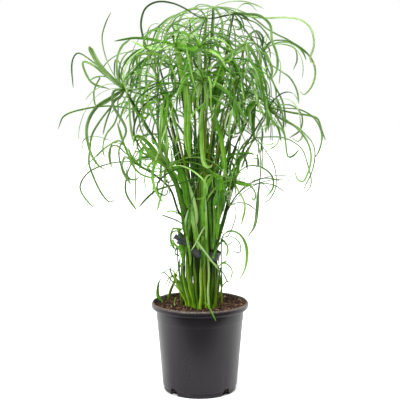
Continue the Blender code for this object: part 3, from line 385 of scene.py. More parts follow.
@dataclass(frozen=True)
class CulmFinish:
    """Three-sided culm with fine lines: purplish at the peat, lime at the sheath, and green above.

    Attributes:
        foot: colour where it leaves the peat.
        sheath: colour of the sheath and of the lightest culms.
        green: colour of a culm of middle tone.
        dark: colour of the darkest culms and of the lines.
        soil: height of the peat.
        sheath_ends: heights over the peat between which the sheath's colour fades.
    """

    foot: Colour = (0.06, 0.035, 0.02)
    sheath: Colour = (0.26, 0.35, 0.010)
    green: Colour = (0.074, 0.174, 0.004)
    dark: Colour = (0.012, 0.045, 0.001)
    soil: float = 149 * MM
    sheath_ends: tuple[float, float] = (20 * MM, 130 * MM)
    lines: int = 16
    line_depth: float = 0.08 * MM

    def material(self) -> Material:
        """Build the material.

        Returns:
            The node material.
        """
        recipe = Recipe("culm_skin", {"Specular IOR Level": 0.2, "Metallic": 0.0})
        across, _ = recipe.across_and_along()
        height, start, end = recipe.height(), *(self.soil + over for over in self.sheath_ends)
        streaks = recipe.cloud(60, 4, (1, 1, 0.08))
        tone = recipe.sum(recipe.tone(), recipe.varied(streaks, -0.22, 0.22))
        body = recipe.ramp(tone, {0.0: self.dark, 0.5: self.green, 1.0: self.sheath})
        low = recipe.spread(height, start, end, 0.72, 0)
        low = recipe.sum(low, recipe.spread(recipe.tone(), 0.1, 0.9, 0.25, 1.0), kind="MULTIPLY")
        colour = recipe.blend(low, body, self.sheath)
        at_foot = recipe.spread(height, self.soil, self.soil + 12 * MM, 0.8, 0)
        colour = recipe.blend(at_foot, colour, self.foot)
        lines = recipe.waves(across, self.lines)
        colour = recipe.blend(recipe.spread(lines, -1, 1, 0, 0.25, "LINEAR"), colour, self.dark)
        return recipe.finish(
            colour=colour,
            roughness=recipe.varied(streaks, 0.32, 0.5),
            normal=recipe.bump(lines, self.line_depth),
        )


@dataclass(frozen=True)
class PlasticFinish:
    """Black moulded plastic: matt, with fine grain and rings, faint scuffs, and peat dust on the rim that
    is light enough to paint the lip's highlight too.
    """

    body: Colour = (0.0085, 0.0058, 0.0088)
    worn: Colour = (0.0150, 0.0118, 0.0152)
    # Dust on the rim, lightened so that it also paints the highlight along the lip's top.
    dust_and_highlight: Colour = (0.20, 0.163, 0.125)
    rim: float = 152.5 * MM
    rings: float = 1 / (2.1 * MM)
    grain_depth: float = 0.12 * MM
    ring_depth: float = 0.006 * MM

    def material(self) -> Material:
        """Build the material.

        Returns:
            The node material.
        """
        recipe = Recipe("pot_plastic", {"Specular IOR Level": 0.3, "Metallic": 0.0})
        height = recipe.height()
        scuffs = recipe.cloud(26, 6, (1, 1, 0.35))
        colour = recipe.blend(recipe.spread(scuffs, 0.5, 0.75, 0, 0.4), self.body, self.worn)
        specks = recipe.spread(recipe.cloud(420, 4), 0.48, 0.62, 0.35, 1)
        # Specks above the rim's height: peat dust, and a painted highlight on the lip's top.
        on_rim = recipe.spread(height, self.rim, self.rim + 3 * MM, 0, 0.8)
        dust_and_highlight_mask = recipe.sum(specks, on_rim, kind="MULTIPLY")
        rough = recipe.sum(dust_and_highlight_mask, 0.4, kind="MULTIPLY")
        grain = recipe.bump(recipe.cloud(1500, 2), self.grain_depth)
        return recipe.finish(
            colour=recipe.blend(dust_and_highlight_mask, colour, self.dust_and_highlight),
            roughness=recipe.sum(recipe.varied(scuffs, 0.27, 0.36), rough),
            normal=recipe.bump(recipe.waves(height, self.rings), self.ring_depth, grain),
        )


@dataclass(frozen=True)
class PeatFinish:
    """Peat: near black at its lowest tone, which the plug's sides carry as painted shade in the pot;
    red-brown crumbs and pale fibres by tone.
    """

    near_black_and_shade: Colour = (0.008, 0.0045, 0.003)
    brown: Colour = (0.046, 0.022, 0.012)
    rust: Colour = (0.135, 0.060, 0.030)
    straw: Colour = (0.34, 0.24, 0.14)

    def material(self) -> Material:
        """Build the material.

        Returns:
            The node material.
        """
        recipe = Recipe("peat", {"Specular IOR Level": 0.25, "Metallic": 0.0})
        tone = recipe.sum(recipe.tone(), recipe.varied(recipe.cloud(260, 5), -0.16, 0.16))
        return recipe.finish(
            colour=recipe.ramp(tone, {0.05: self.near_black_and_shade, 0.4: self.brown, 0.68: self.rust, 0.97: self.straw}),
            roughness=recipe.varied(recipe.cloud(90), 0.8, 0.98),
            normal=recipe.bump(recipe.cloud(900, 5), 0.8 * MM),
        )


@dataclass(frozen=True)
class BandFinish:
    """Slate-grey soft strap with fine ribs along it, darker in patches laid by noise."""

    slate: Colour = (0.052, 0.068, 0.054)
    dark: Colour = (0.014, 0.022, 0.018)
    ribs: float = 1 / (1.6 * MM)

    def material(self) -> Material:
        """Build the material.

        Returns:
            The node material.
        """
        recipe = Recipe("tie_strap", {"Specular IOR Level": 0.35, "Metallic": 0.0})
        patch_noise = recipe.cloud(85, 4)
        return recipe.finish(
            colour=recipe.blend(recipe.spread(patch_noise, 0.35, 0.7, 0, 0.85), self.slate, self.dark),
            roughness=recipe.varied(patch_noise, 0.5, 0.72),
            normal=recipe.bump(recipe.waves(recipe.height(), self.ribs), 0.08 * MM),
        )


@dataclass(frozen=True)
class FloorFinish:
    """Plain pale paper."""

    pale: Colour = (0.93, 0.93, 0.925)
    shade: Colour = (0.90, 0.90, 0.90)

    def material(self) -> Material:
        """The node material."""
        recipe = Recipe("pale_floor", {"Roughness": 0.8, "Specular IOR Level": 0.1})
        return recipe.finish(colour=recipe.blend(recipe.cloud(1.5), self.pale, self.shade))


# Drawing in mesh


def clamped(value: float, least: float = 0.0, most: float = 1.0) -> float:
    """A value held between two others."""
    return min(most, max(least, value))


def smooth_value(
    values: Sequence[float] | Sequence[Vector], shares: Sequence[float], way: float
) -> float | Vector:
    """Value at a share of the way on a smooth curve through values.

    Args:
        values: numbers or vectors.
        shares: share of the way of each.
        way: share of the way that is asked for.

    Returns:
        A number or a vector.
    """
    start = min(len(shares) - 2, max(0, bisect.bisect_right(shares, way) - 1))
    span = shares[start + 1] - shares[start]
    slopes = []
    for knot in (start, start + 1):
        before, after = max(0, knot - 1), min(len(shares) - 1, knot + 1)
        slopes.append((values[after] - values[before]) / (shares[after] - shares[before]) * span)
    part = (way - shares[start]) / span
    square, cube = part * part, part * part * part
    return (
        values[start] * (2 * cube - 3 * square + 1) + slopes[0] * (cube - 2 * square + part)
        + values[start + 1] * (3 * square - 2 * cube) + slopes[1] * (cube - square)
    )


def shares_along(points: list[Vector]) -> list[float]:
    """Share of the whole way at each point of a chain.

    Args:
        points: the chain.

    Returns:
        The shares, from 0 to 1.
    """
    runs = [0.0]
    for before, after in zip(points, points[1:]):
        runs.append(runs[-1] + max((after - before).length, WELD))
    return [run / runs[-1] for run in runs]


def carried_sides(points: list[Vector], first: Vector) -> list[Vector]:
    """Carry an across direction along a chain without sudden turns.

    Args:
        points: the chain.
        first: the direction at its start.

    Returns:
        The direction at each point.
    """
    runs = [(after - before).normalized() for before, after in zip(points, points[1:])]
    tangents = [runs[0]] + [(a + b).normalized() for a, b in zip(runs, runs[1:])] + [runs[-1]]
    sides, side = [], first
    for tangent in tangents:
        side = (side - tangent * side.dot(tangent)).normalized()
        sides.append(side)
    return sides


def facing_sides(points: list[Vector]) -> list[Vector]:
    """Across direction at each point of a chain so that its flat faces the eye."""
    ends = zip([points[0]] + points[:-1], points[1:] + [points[-1]], points)
    return [(after - before).cross(point - VIEW.eye()).normalized() for before, after, point in ends]


@dataclass
class Run:
    """A chain of points with a flat's direction and half a width at each.

    Attributes:
        points: the middle line.
        sides: across direction at each point.
        halves: half the width at each point.
        nearby: share of the way, to each side, over which a heading is taken.
    """

    points: list[Vector]
    sides: list[Vector]
    halves: list[float]
    nearby: float = 0.01

    def __post_init__(self) -> None:
        """Measure the run."""
        self.shares = shares_along(self.points)
        self.length = sum((b - a).length for a, b in zip(self.points, self.points[1:]))

    def at(self, way: float) -> tuple[Vector, Vector, Vector, Vector, float]:
        """Where the run is at a share of the way.

        Args:
            way: share of the way.

        Returns:
            Its middle, its heading, its across and its upward direction, and half its width.
        """
        point = smooth_value(self.points, self.shares, way)
        low, high = max(0.0, way - self.nearby), min(1.0, way + self.nearby)
        heading = smooth_value(self.points, self.shares, high) - smooth_value(self.points, self.shares, low)
        heading = heading.normalized() if heading.length > WELD else UP.copy()
        side = smooth_value(self.sides, self.shares, way)
        side = (side - heading * side.dot(heading)).normalized()
        half = max(0.0, smooth_value(self.halves, self.shares, way))
        return point, heading, side, side.cross(heading), half


def mesh_data(name: str, mesh: bmesh.types.BMesh) -> bpy.types.Mesh:
    """Turn a bmesh into mesh data and free it.

    Args:
        name: name of the data.
        mesh: the bmesh.

    Returns:
        The data.
    """
    data = bpy.data.meshes.new(name)
    mesh.to_mesh(data)
    mesh.free()
    return data


class Sheet:
    """A bmesh that ribbons and tubes are drawn in, with a map and a tone."""

    def __init__(self) -> None:
        """An empty mesh."""
        self.mesh = bmesh.new()
        self.mesh.loops.layers.uv.new("UVMap")
        self.tones = self.mesh.verts.layers.float.new("tone")

    def lay(
        self, across: int, along: int, tone: float, place: Callable[[float, float], Vector]
    ) -> list[bmesh.types.BMVert]:
        """Lay a grid where a function puts it.

        Args:
            across: faces across.
            along: faces along.
            tone: the tone that it carries.
            place: function of the share across, from -1 to 1, and the share along, from 0 to 1.

        Returns:
            The grid's vertices.
        """
        verts = bmesh.ops.create_grid(
            self.mesh, x_segments=across, y_segments=along, size=1, calc_uvs=True
        )["verts"]
        for vert in verts:
            vert[self.tones] = tone
            vert.co = place(vert.co.x, round((vert.co.y + 1) / 2, 6))
        return verts

    def thicken(self, thickness: float) -> None:
        """Turn all that is drawn so far into closed shells of a thickness."""
        bmesh.ops.solidify(self.mesh, geom=self.mesh.faces[:], thickness=thickness)

    def weld(self, verts: list[bmesh.types.BMVert]) -> None:
        """Weld the seam of a rolled grid, given its vertices."""
        bmesh.ops.remove_doubles(self.mesh, verts=verts, dist=WELD)

    def open_edges(self) -> list[bmesh.types.BMEdge]:
        """Edges where the mesh is still open."""
        return [edge for edge in self.mesh.edges if edge.is_boundary]

    def close(self) -> None:
        """Close whatever is still open."""
        bmesh.ops.holes_fill(self.mesh, edges=self.open_edges(), sides=0)

    def piece(self, name: str, *finishes: Material) -> Piece:
        """The finished mesh as an object in the scene, by its name and materials."""
        bmesh.ops.recalc_face_normals(self.mesh, faces=self.mesh.faces)
        return smooth_piece(name, mesh_data(name, self.mesh), *finishes)


def smooth_piece(name: str, data: bpy.types.Mesh, *finishes: Material) -> Piece:
    """Put a mesh in the scene, smooth where it isn't sharp.

    Args:
        name: the piece's name.
        data: its mesh.
        *finishes: its materials.

    Returns:
        The object.
    """
    for finish in finishes:
        data.materials.append(finish)
    data.shade_smooth()
    data.set_sharp_from_angle(angle=SHARP)
    return put_in_scene(name, data)


def settle(piece: Piece, slot: str, *nodes: str) -> Piece:
    """Let a piece ride on the plant, stand for solids, and log its slot.

    Args:
        piece: the object.
        slot: the name of its slot.
        *nodes: the nodes that it stands for.

    Returns:
        The piece.
    """
    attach(piece, "root")
    if nodes:
        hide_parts(*nodes)
    triangles = sum(len(face.vertices) - 2 for face in piece.data.polygons)
    LOG.info("%s: %d triangles, %s", piece.name, triangles, slot)
    return piece


@dataclass(frozen=True)
class Tip:
    """How a ribbon narrows to its end.

    Attributes:
        least: share of the width that is left at the very end.
        over: share of the way over which it narrows.
        power: how straight it narrows.
    """

    least: float
    over: float
    power: float

    def share(self, way: float) -> float:
        """Share of the width at a share of the way."""
        return max(self.least, min(1.0, ((1 - way) / self.over) ** self.power))


POINTED = Tip(0.06, 0.14, 0.55)
BLUNT = Tip(0.3, 0.06, 0.5)


@dataclass
class Ribbon:
    """A leaf: a run dressed as a keeled, twisting, tapering ribbon.

    Attributes:
        run: where it goes.
        tone: how light it is.
        twist: how far it turns about its own line by its tip.
        wave: how much its edges ripple.
        tip: how it ends.
        step: length of a face.
        across: faces across.
        fold: how high its edges stand over the keel at the root, against half its width.
        flattening: how much of that is lost by the tip.
        edge_power: how rounded the fold is.
        ripple: how far the ripple turns in a metre.
        shift: how far the ripple is shifted by a tone of 1.
    """

    run: Run
    tone: float
    twist: float = 0.0
    wave: float = 0.1
    tip: Tip = POINTED
    step: float = 5.5 * MM
    across: int = 4
    fold: float = 0.42
    flattening: float = 0.26
    edge_power: float = 1.3
    ripple: float = 210.0
    shift: float = 20.0

    def draw(self, sheet: Sheet) -> None:
        """Draw the ribbon.

        Args:
            sheet: what it is drawn in.
        """
        along = max(10, round(self.run.length / self.step))
        rows = []
        for row in range(along + 1):
            way = row / along
            point, heading, side, up, half = self.run.at(way)
            turn = Matrix.Rotation(self.twist * way * way, 3, heading)
            rows.append((point, turn @ side, turn @ up, half * self.tip.share(way), way))

        def place(across: float, way: float) -> Vector:
            """A point of the ribbon.

            Args:
                across: share of the way from the keel to an edge.
                way: share of the way along.

            Returns:
                The point.
            """
            point, side, up, half, way = rows[round(way * along)]
            fold = (self.fold - self.flattening * way) * abs(across) ** self.edge_power
            turn = way * self.run.length * self.ripple + self.tone * self.shift + across
            lift = fold + math.sin(turn) * self.wave * across
            return point + side * (across * half) + up * (half * lift)

        sheet.lay(self.across, along, self.tone, place)


@dataclass
class Culm:
    """A culm: a three-sided tube with a sheath at its foot and a collar under its crown.

    Attributes:
        run: where it goes, from the soil up.
        tone: how light it is.
        sheath: how much wider it is at its foot, and the length in which that fades.
        collar: the same for the crown's end.
        edge: how far its three edges stand out, against its size.
        step: length of a face.
        around: faces round it.
    """

    run: Run
    tone: float
    sheath: tuple[float, float] = (0.6 * MM, 34 * MM)
    collar: tuple[float, float] = (0.9 * MM, 5 * MM)
    edge: float = 0.09
    step: float = 9 * MM
    around: int = 9

    def draw(self, sheet: Sheet) -> None:
        """Draw the culm.

        Args:
            sheet: what it is drawn in.
        """
        along = max(8, round(self.run.length / self.step))
        rows = [self.run.at(row / along) for row in range(along + 1)]

        def place(around: float, way: float) -> Vector:
            """A point of the skin.

            Args:
                around: share of the way round, from -1 to 1.
                way: share of the way along.

            Returns:
                The point.
            """
            point, _, side, up, half = rows[round(way * along)]
            angle = math.pi * (around + 1)
            size = half
            gone = way * self.run.length
            for (wider, fades), away in ((self.sheath, gone), (self.collar, self.run.length - gone)):
                size += wider * math.exp(-away / fades)
            size *= 1 + self.edge * math.cos(3 * angle)
            return point + (side * math.cos(angle) + up * math.sin(angle)) * size

        sheet.weld(sheet.lay(self.around, along, self.tone, place))
        sheet.close()


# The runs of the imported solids


class Solid:
    """A packed shoot, taken apart into its runs.

    Every run of a shoot's solid is a chain of rings of three corners, drawn out of a hub. They are
    found from their tips inwards. The corners of a ring are put in order by place, because a set of
    them has another order each time.

    Attributes:
        MERGE: distance within which corners are one.
        NECK: width at a leaf's root against that of its first ring.
    """

    MERGE = 1e-5
    NECK = 0.8

    def __init__(self, node: Piece) -> None:
        """Read a node.

        Args:
            node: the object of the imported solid, whose mesh is copied and merged.
        """
        self.mesh = bmesh.new()
        self.mesh.from_mesh(node.data)
        bmesh.ops.remove_doubles(self.mesh, verts=self.mesh.verts, dist=self.MERGE)

    def beyond(self, ring: Corners, passed: Corners) -> Corners:
        """Corners next to a ring that haven't been passed."""
        return {edge.other_vert(vert) for vert in ring for edge in vert.link_edges} - ring - passed

    def walk(self, face: bmesh.types.BMFace, sizes: tuple[int, ...]) -> list[list[Vector]]:
        """Rings from a cap inwards, as long as the next has one of the sizes.

        Args:
            face: the cap.
            sizes: how many corners a ring may have.

        Returns:
            The corners of each ring, the hub's face last.
        """
        ring, passed = set(face.verts), set()
        rings, after = [ring], self.beyond(ring, passed)
        while len(after) in sizes:
            passed, ring = ring, after
            rings.append(ring)
            after = self.beyond(ring, passed)
        return [sorted((vert.co.copy() for vert in ring), key=tuple) for ring in rings]

    def blades(self) -> list[list[list[Vector]]]:
        """Find every run with rings of three corners.

        Returns:
            The rings of each, from tip to hub, in a fixed order.
        """
        found = [self.walk(face, (3,)) for face in self.mesh.faces]
        found = [rings for rings in found if len(rings) > 1]
        return sorted(found, key=lambda rings: [round(value, 4) for value in sum(rings[0], Vector())])

    @staticmethod
    def middle(ring: list[Vector]) -> Vector:
        """Middle of a ring."""
        return sum(ring, Vector()) / len(ring)

    def leaf_run(self, rings: list[list[Vector]], root: Vector) -> Run:
        """Run of a leaf from its root outwards.

        Args:
            rings: its rings from the tip in.
            root: where it starts.

        Returns:
            The run, with the flat's direction and half its width at each ring.
        """
        points, sides, halves = [root], [], []
        for ring in reversed(rings):
            turned = [ring[start:] + ring[:start] for start in range(3)]
            left, right, keel = max(turned, key=lambda three: (three[0] - three[1]).length)
            flat = (left + right) / 2
            heading = (flat - points[-1]).normalized()
            side = (left - right).normalized()
            if side.cross(heading).dot(flat - keel) < 0:
                side = -side
            points.append(flat)
            sides.append(side)
            halves.append((left - right).length / 2)
        return Run(points, [sides[0]] + sides, [halves[0] * self.NECK] + halves)

    def culm_run(self, crown: Vector) -> Run:
        """Run of the culm from the soil up.

        Args:
            crown: where it ends.

        Returns:
            The run.
        """
        lowest = min(self.mesh.faces, key=lambda face: face.calc_center_median().z)
        rings = self.walk(lowest, (3, 4))[:-1]
        points = [self.middle(ring) for ring in rings] + [crown]
        foot, top = ((ring[0] - self.middle(ring)).length for ring in (rings[0], rings[-1]))
        halves = [foot + (top - foot) * step / len(rings) for step in range(len(points))]
        return Run(points, carried_sides(points, Vector((1, 0, 0))), halves)

    def taken_apart(self) -> tuple[Run, list[Run], Vector]:
        """Tell the culm from the leaves.

        Returns:
            The culm's run, the leaves' runs, and the crown.
        """
        floor = min(vert.co.z for vert in self.mesh.verts) + MM
        leaves = [rings for rings in self.blades() if self.middle(rings[0]).z > floor]
        roots = [self.middle(rings[-1]) for rings in leaves]
        crown = sum(roots, Vector()) / len(roots)
        return self.culm_run(crown), [self.leaf_run(rings[:-1], crown) for rings in leaves], crown


# The plant


class Light(Enum):
    """How light the leaves of a shoot are painted; SHADED is a darker tone that paints shade on the shoots
    at the back.
    """

    SHADED = 0.2
    FULL = 0.42
    BRIGHT = 0.52
    AIRY = 0.48


class Habit(Enum):
    """How a leaf that isn't traced carries itself: its shortest and its longest length."""

    ARCHING = (0.08, 0.20)
    HANGING = (0.12, 0.26)
    CURLING = (0.10, 0.20)


@dataclass(frozen=True)
class Outline:
    """Where leaves that aren't traced may be: at first, the dense mass.

    Attributes:
        rows: rows of the front view.
        lefts: leftmost column at each.
        rights: rightmost column at each.
        front: how far to the front they may reach.
        back: how far to the back.
        depth: how deep the mass is to each side of the axis, against its width.
        pixel: what a pixel is taken to measure there, in millimetres.
    """

    rows: tuple[float, ...] = (4, 20, 45, 70, 90, 110, 140, 165, 190, 215, 238)
    lefts: tuple[float, ...] = (182, 152, 140, 128, 120, 116, 126, 136, 154, 168, 176)
    rights: tuple[float, ...] = (240, 262, 272, 276, 278, 280, 272, 262, 248, 236, 226)
    front: float = -165 * MM
    back: float = 200 * MM
    depth: float = 0.95
    pixel: float = 1.73

    def holds(self, point: Vector) -> bool:
        """Whether a point is inside, seen from the front, and no deeper than the mass.

        Args:
            point: a point in the frame of the solids.

        Returns:
            Whether it is.
        """
        column, row = VIEW.seen_at(point)
        if not self.rows[0] <= row <= self.rows[-1]:
            return False
        left, right = smooth_value(self.lefts, self.rows, row), smooth_value(self.rights, self.rows, row)
        depth = self.depth * (right - left) * self.pixel * MM
        return left <= column <= right and max(self.front, -depth) <= point.y <= min(self.back, depth)


MASS = Outline()
MARGIN = Outline(
    rows=(16, 40, 70, 100, 130, 160, 190, 208),
    lefts=(150, 112, 80, 72, 74, 78, 88, 110),
    rights=(288, 306, 314, 320, 324, 320, 308, 286),
)


@dataclass
class Growth:
    """How further leaves grow from a crown. Angles of a leaf's course are in degrees.

    Attributes:
        weights: how often each habit comes, in the order of Habit.
        outline: where they may be.
        shift: how much lighter they are than the others of the shoot.
        width: narrowest and widest.
        pitch: lowest and highest angle up at the root.
        drop: least and most turn downwards along an arching leaf.
        curl: least and most turn of a curling leaf's end.
        curl_from: share of the way at which that starts.
        over: least and most share of the way at which a hanging leaf has turned down.
        fall: least and most angle down at which it then hangs.
        steepest: the steepest that an arching leaf goes down.
        swerve: how far a leaf's bearing is off its gap's middle, in radians.
        sway: how far it turns sideways by its tip, in radians.
        roll: how far its flat is turned at the root, in radians.
        tries: how often a leaf is drawn again to fit the outline.
        shrinking: how much shorter it is each time.
    """

    count: int = 11
    weights: tuple[float, float, float] = (0.48, 0.26, 0.26)
    outline: Outline = MASS
    shift: float = -0.03
    width: tuple[float, float] = (2.2 * MM, 5.0 * MM)
    pitch: tuple[float, float] = (0, 65)
    drop: tuple[float, float] = (80, 170)
    curl: tuple[float, float] = (110, 250)
    curl_from: float = 0.6
    over: tuple[float, float] = (0.25, 0.6)
    fall: tuple[float, float] = (58, 84)
    steepest: float = 95
    swerve: float = 0.5
    sway: float = 1.3
    roll: float = 0.9
    steps: int = 10
    tries: int = 30
    shrinking: float = 0.02

    def slopes(self, habit: Habit, chance: random.Random) -> list[float]:
        """Angle up at each step of a leaf.

        Args:
            habit: how it carries itself.
            chance: the shoot's own chance.

        Returns:
            The angles.
        """
        angles = (self.pitch, self.drop, self.curl)
        pitch, drop, curl = (math.radians(chance.uniform(*ends)) for ends in angles)
        turned, fall = chance.uniform(*self.over), math.radians(chance.uniform(*self.fall))
        slopes = []
        for step in range(self.steps):
            way = (step + 0.5) / self.steps
            if habit is Habit.HANGING:
                over = min(1.0, way / turned)
                slopes.append(pitch - (pitch + fall) * over * over * (3 - 2 * over))
            else:
                end = max(0.0, (way - self.curl_from) / 0.4) ** 2 if habit is Habit.CURLING else 0.0
                slopes.append(max(pitch - drop * way ** 1.2, -math.radians(self.steepest)) - curl * end)
        return slopes

    def leaf(self, crown: Vector, heading: float, chance: random.Random) -> Run:
        """Grow one leaf, again and again until it fits the outline.

        Args:
            crown: where it starts.
            heading: its bearing.
            chance: the shoot's own chance.

        Returns:
            Its run.
        """
        for attempt in range(self.tries):
            habit = chance.choices(list(Habit), self.weights)[0]
            length = chance.uniform(*habit.value) * (1 - self.shrinking * attempt)
            bearing = heading + chance.uniform(-self.swerve, self.swerve)
            sway = chance.uniform(-self.sway, self.sway)
            points = [crown.copy()]
            for step, slope in enumerate(self.slopes(habit, chance)):
                aim = bearing + sway * ((step + 0.5) / self.steps) ** 2
                level = math.cos(slope)
                run = Vector((level * math.cos(aim), level * math.sin(aim), math.sin(slope)))
                points.append(points[-1] + run * (length / self.steps))
            if all(self.outline.holds(point) for point in points[1:]):
                break
        half = chance.uniform(*self.width) / 2
        halves = [half * (0.5 + 0.5 * (step / self.steps)) for step in range(self.steps + 1)]
        first = Vector((math.cos(heading), math.sin(heading), 0)).cross(UP)
        axis = (points[1] - points[0]).normalized()
        roll = Matrix.Rotation(chance.uniform(-self.roll, self.roll), 3, axis)
        return Run(points, carried_sides(points, roll @ first), halves)


@dataclass(frozen=True)
class Traced:
    """A leaf whose route is traced from the front view.

    Attributes:
        width: in millimetres.
        lean: how far its tip is behind its crown, in millimetres.
        tone: how light it is.
        route: columns and rows that it passes.
        swell: share of the way at which it is widest, or 0 if it is even.
    """

    width: float
    lean: float
    tone: float
    route: Route
    swell: float = 0.0

    def share(self, way: float) -> float:
        """Share of the width that it has at a share of the way."""
        swollen = 0.25 + 0.75 * math.exp(-(((way - self.swell) / 0.24) ** 2))
        return swollen if self.swell else 0.6 + 0.4 * min(1, 3 * way)

    def run(self, crown: Vector) -> Run:
        """Follow its route.

        Args:
            crown: where it starts.

        Returns:
            Its run.
        """
        ways = shares_along([Vector((column, row, 0)) for column, row in self.route])
        points = [crown.copy()]
        for (column, row), way in zip(self.route, ways):
            points.append(VIEW.sighted(column, row, crown.y + self.lean * MM * (0.2 + 0.8 * way)))
        halves = [self.width * MM / 2 * self.share(way) for way in shares_along(points)]
        return Run(points, facing_sides(points), halves)


@dataclass
class Shoot:
    """One shoot: its culm, the leaves of its solid and further ones, as one piece.

    Attributes:
        name: the node it stands for.
        light: how light its leaves are.
        growth: how further leaves grow.
        traced: further leaves that are traced.
        marked: for leaves whose tip is seen at a column and row, a tone and a share of the width.
        culm_tone: how light its culm is, if not by chance.
        culm_size: the culm's size against its solid's.
        slim: width of a narrow leaf against its solid's.
        broad: half width from which a leaf keeps nearly its full width.
        narrowing: how much less than that makes a leaf as narrow as any.
        fullness: how much of its solid's taper a leaf keeps.
        spread: how much the tones of its leaves differ.
        accents: what is added to the tone of a leaf, by chance.
        culm_tones: what the tone of a culm is, by chance.
        near: how many pixels off its mark a tip may be.
    """

    name: str
    light: Light = Light.FULL
    growth: Growth = field(default_factory=Growth)
    traced: tuple[Traced, ...] = ()
    marked: tuple[tuple[float, float, float, float], ...] = ()
    culm_tone: float | None = None
    culm_size: float = 0.86
    slim: float = 0.66
    broad: float = 4.2 * MM
    narrowing: float = 1.2 * MM
    fullness: float = 0.6
    leaf_thickness: float = 0.7 * MM
    spread: float = 0.15
    accents: tuple[float, ...] = (0.0, 0.0, 0.0, 0.0, 0.34, -0.28)
    culm_tones: tuple[float, ...] = (0.0, 0.1, 0.25, 0.45, 0.7, 1.0)
    near: float = 5.0

    def headings(self, crown: Vector, leaves: list[Run]) -> list[float]:
        """Bearings in the middle of the widest gaps between leaves.

        Args:
            crown: where they start.
            leaves: the runs that are there.

        Returns:
            A bearing for each further leaf.
        """
        starts = [leaf.points[1] for leaf in leaves]
        taken = sorted(math.atan2(start.y - crown.y, start.x - crown.x) for start in starts)
        free = []
        for _ in range(self.growth.count):
            ends = zip(taken, taken[1:] + [taken[0] + TURN])
            gap, before = max((after - before, before) for before, after in ends)
            free.append(before + gap / 2)
            taken = sorted(taken + [free[-1]])
        return free

    def tone(self, shift: float, chance: random.Random) -> float:
        """Draw a leaf's tone, lighter than the shoot by a shift on the whole, perhaps out of range."""
        return self.light.value + chance.gauss(shift, self.spread) + chance.choice(self.accents)

    def dress_of(self, run: Run, chance: random.Random) -> tuple[float, float]:
        """Tone of a leaf of the solid, and its width against the solid's.

        Args:
            run: the leaf's run.
            chance: the shoot's own chance.

        Returns:
            The tone, from 0 to 1, and the share.
        """
        tone = self.tone(0.0, chance)
        share = self.slim + (1 - self.slim) * min(1.0, max(run.halves) / self.broad) ** 4 * 0.6
        column, row = VIEW.seen_at(run.points[-1])
        for seen_column, seen_row, other, size in self.marked:
            if math.hypot(column - seen_column, row - seen_row) < self.near:
                tone, share = other, share * size
        return clamped(tone), share

    def draw_leaves(self, sheet: Sheet, crown: Vector, leaves: list[Run], chance: random.Random) -> None:
        """Draw the leaves of the solid, the further ones and the traced ones.

        Args:
            sheet: what they are drawn in.
            crown: where they start.
            leaves: the runs of the solid's leaves.
            chance: the shoot's own chance.
        """
        for run in leaves:
            broadest = max(run.halves)
            tip = BLUNT if run.halves[-1] > 0.6 * broadest else POINTED
            tone, share = self.dress_of(run, chance)
            narrow = clamped((self.broad - broadest) / self.narrowing)
            kept = [(half / broadest) ** self.fullness for half in run.halves]
            run.halves = [
                broadest * share * ((1 - narrow) * taper + narrow * (0.55 + 0.5 * way))
                for taper, way in zip(kept, run.shares)
            ]
            Ribbon(run, tone, chance.uniform(-0.5, 0.5), chance.uniform(0.03, 0.12), tip).draw(sheet)
        for heading in self.headings(crown, leaves):
            run = self.growth.leaf(crown, heading, chance)
            tone = clamped(self.tone(self.growth.shift, chance), most=0.95)
            Ribbon(run, tone, chance.uniform(-1.6, 1.6), chance.uniform(0.03, 0.12)).draw(sheet)
        for leaf in self.traced:
            Ribbon(leaf.run(crown), leaf.tone, chance.uniform(-0.4, 0.4), 0.05).draw(sheet)

    def build(self, node: Piece, leaf: Material, skin: Material) -> Piece:
        """Build and dress the shoot.

        Args:
            node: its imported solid.
            leaf: finish of the leaves.
            skin: finish of the culm.

        Returns:
            The finished piece.
        """
        chance = random.Random(self.name)
        culm, leaves, crown = Solid(node).taken_apart()
        sheet = Sheet()
        self.draw_leaves(sheet, crown, leaves, chance)
        sheet.thicken(self.leaf_thickness)
        drawn = set(sheet.mesh.faces)
        size = self.culm_size * chance.uniform(0.82, 1.12)
        culm.halves = [half * size for half in culm.halves]
        tone = chance.choice(self.culm_tones) if self.culm_tone is None else self.culm_tone
        Culm(culm, tone).draw(sheet)
        for face in sheet.mesh.faces:
            face.material_index = 0 if face in drawn else 1
        return settle(sheet.piece("dressed_" + self.name, leaf, skin), "leaf", self.name)


@dataclass
class LooseBlade:
    """A leaf or young culm that stands on its own.

    Attributes:
        name: the node it stands for.
        tone: how light it is.
        tip: how it ends.
        size: its width against its solid's.
    """

    name: str
    tone: float
    tip: Tip
    size: float = 1.0
    thickness: float = 0.5 * MM

    def build(self, node: Piece, leaf: Material) -> Piece:
        """Build it on the run of its solid, from its lower end at the clump or soil.

        Args:
            node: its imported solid.
            leaf: its finish.

        Returns:
            The finished piece.
        """
        solid = Solid(node)
        tips = [(solid.middle(rings[0]), rings) for rings in solid.blades()]
        _, rings = max(tips, key=lambda pair: pair[0].xy.length + 3 * pair[0].z)
        run = solid.leaf_run(rings[:-1], solid.middle(rings[-1]))
        run.halves = [half * self.size for half in run.halves]
        sheet = Sheet()
        Ribbon(run, self.tone, 0.3, 0.03, self.tip).draw(sheet)
        sheet.thicken(self.thickness)
        return settle(sheet.piece("dressed_" + self.name, leaf), "leaf", self.name)


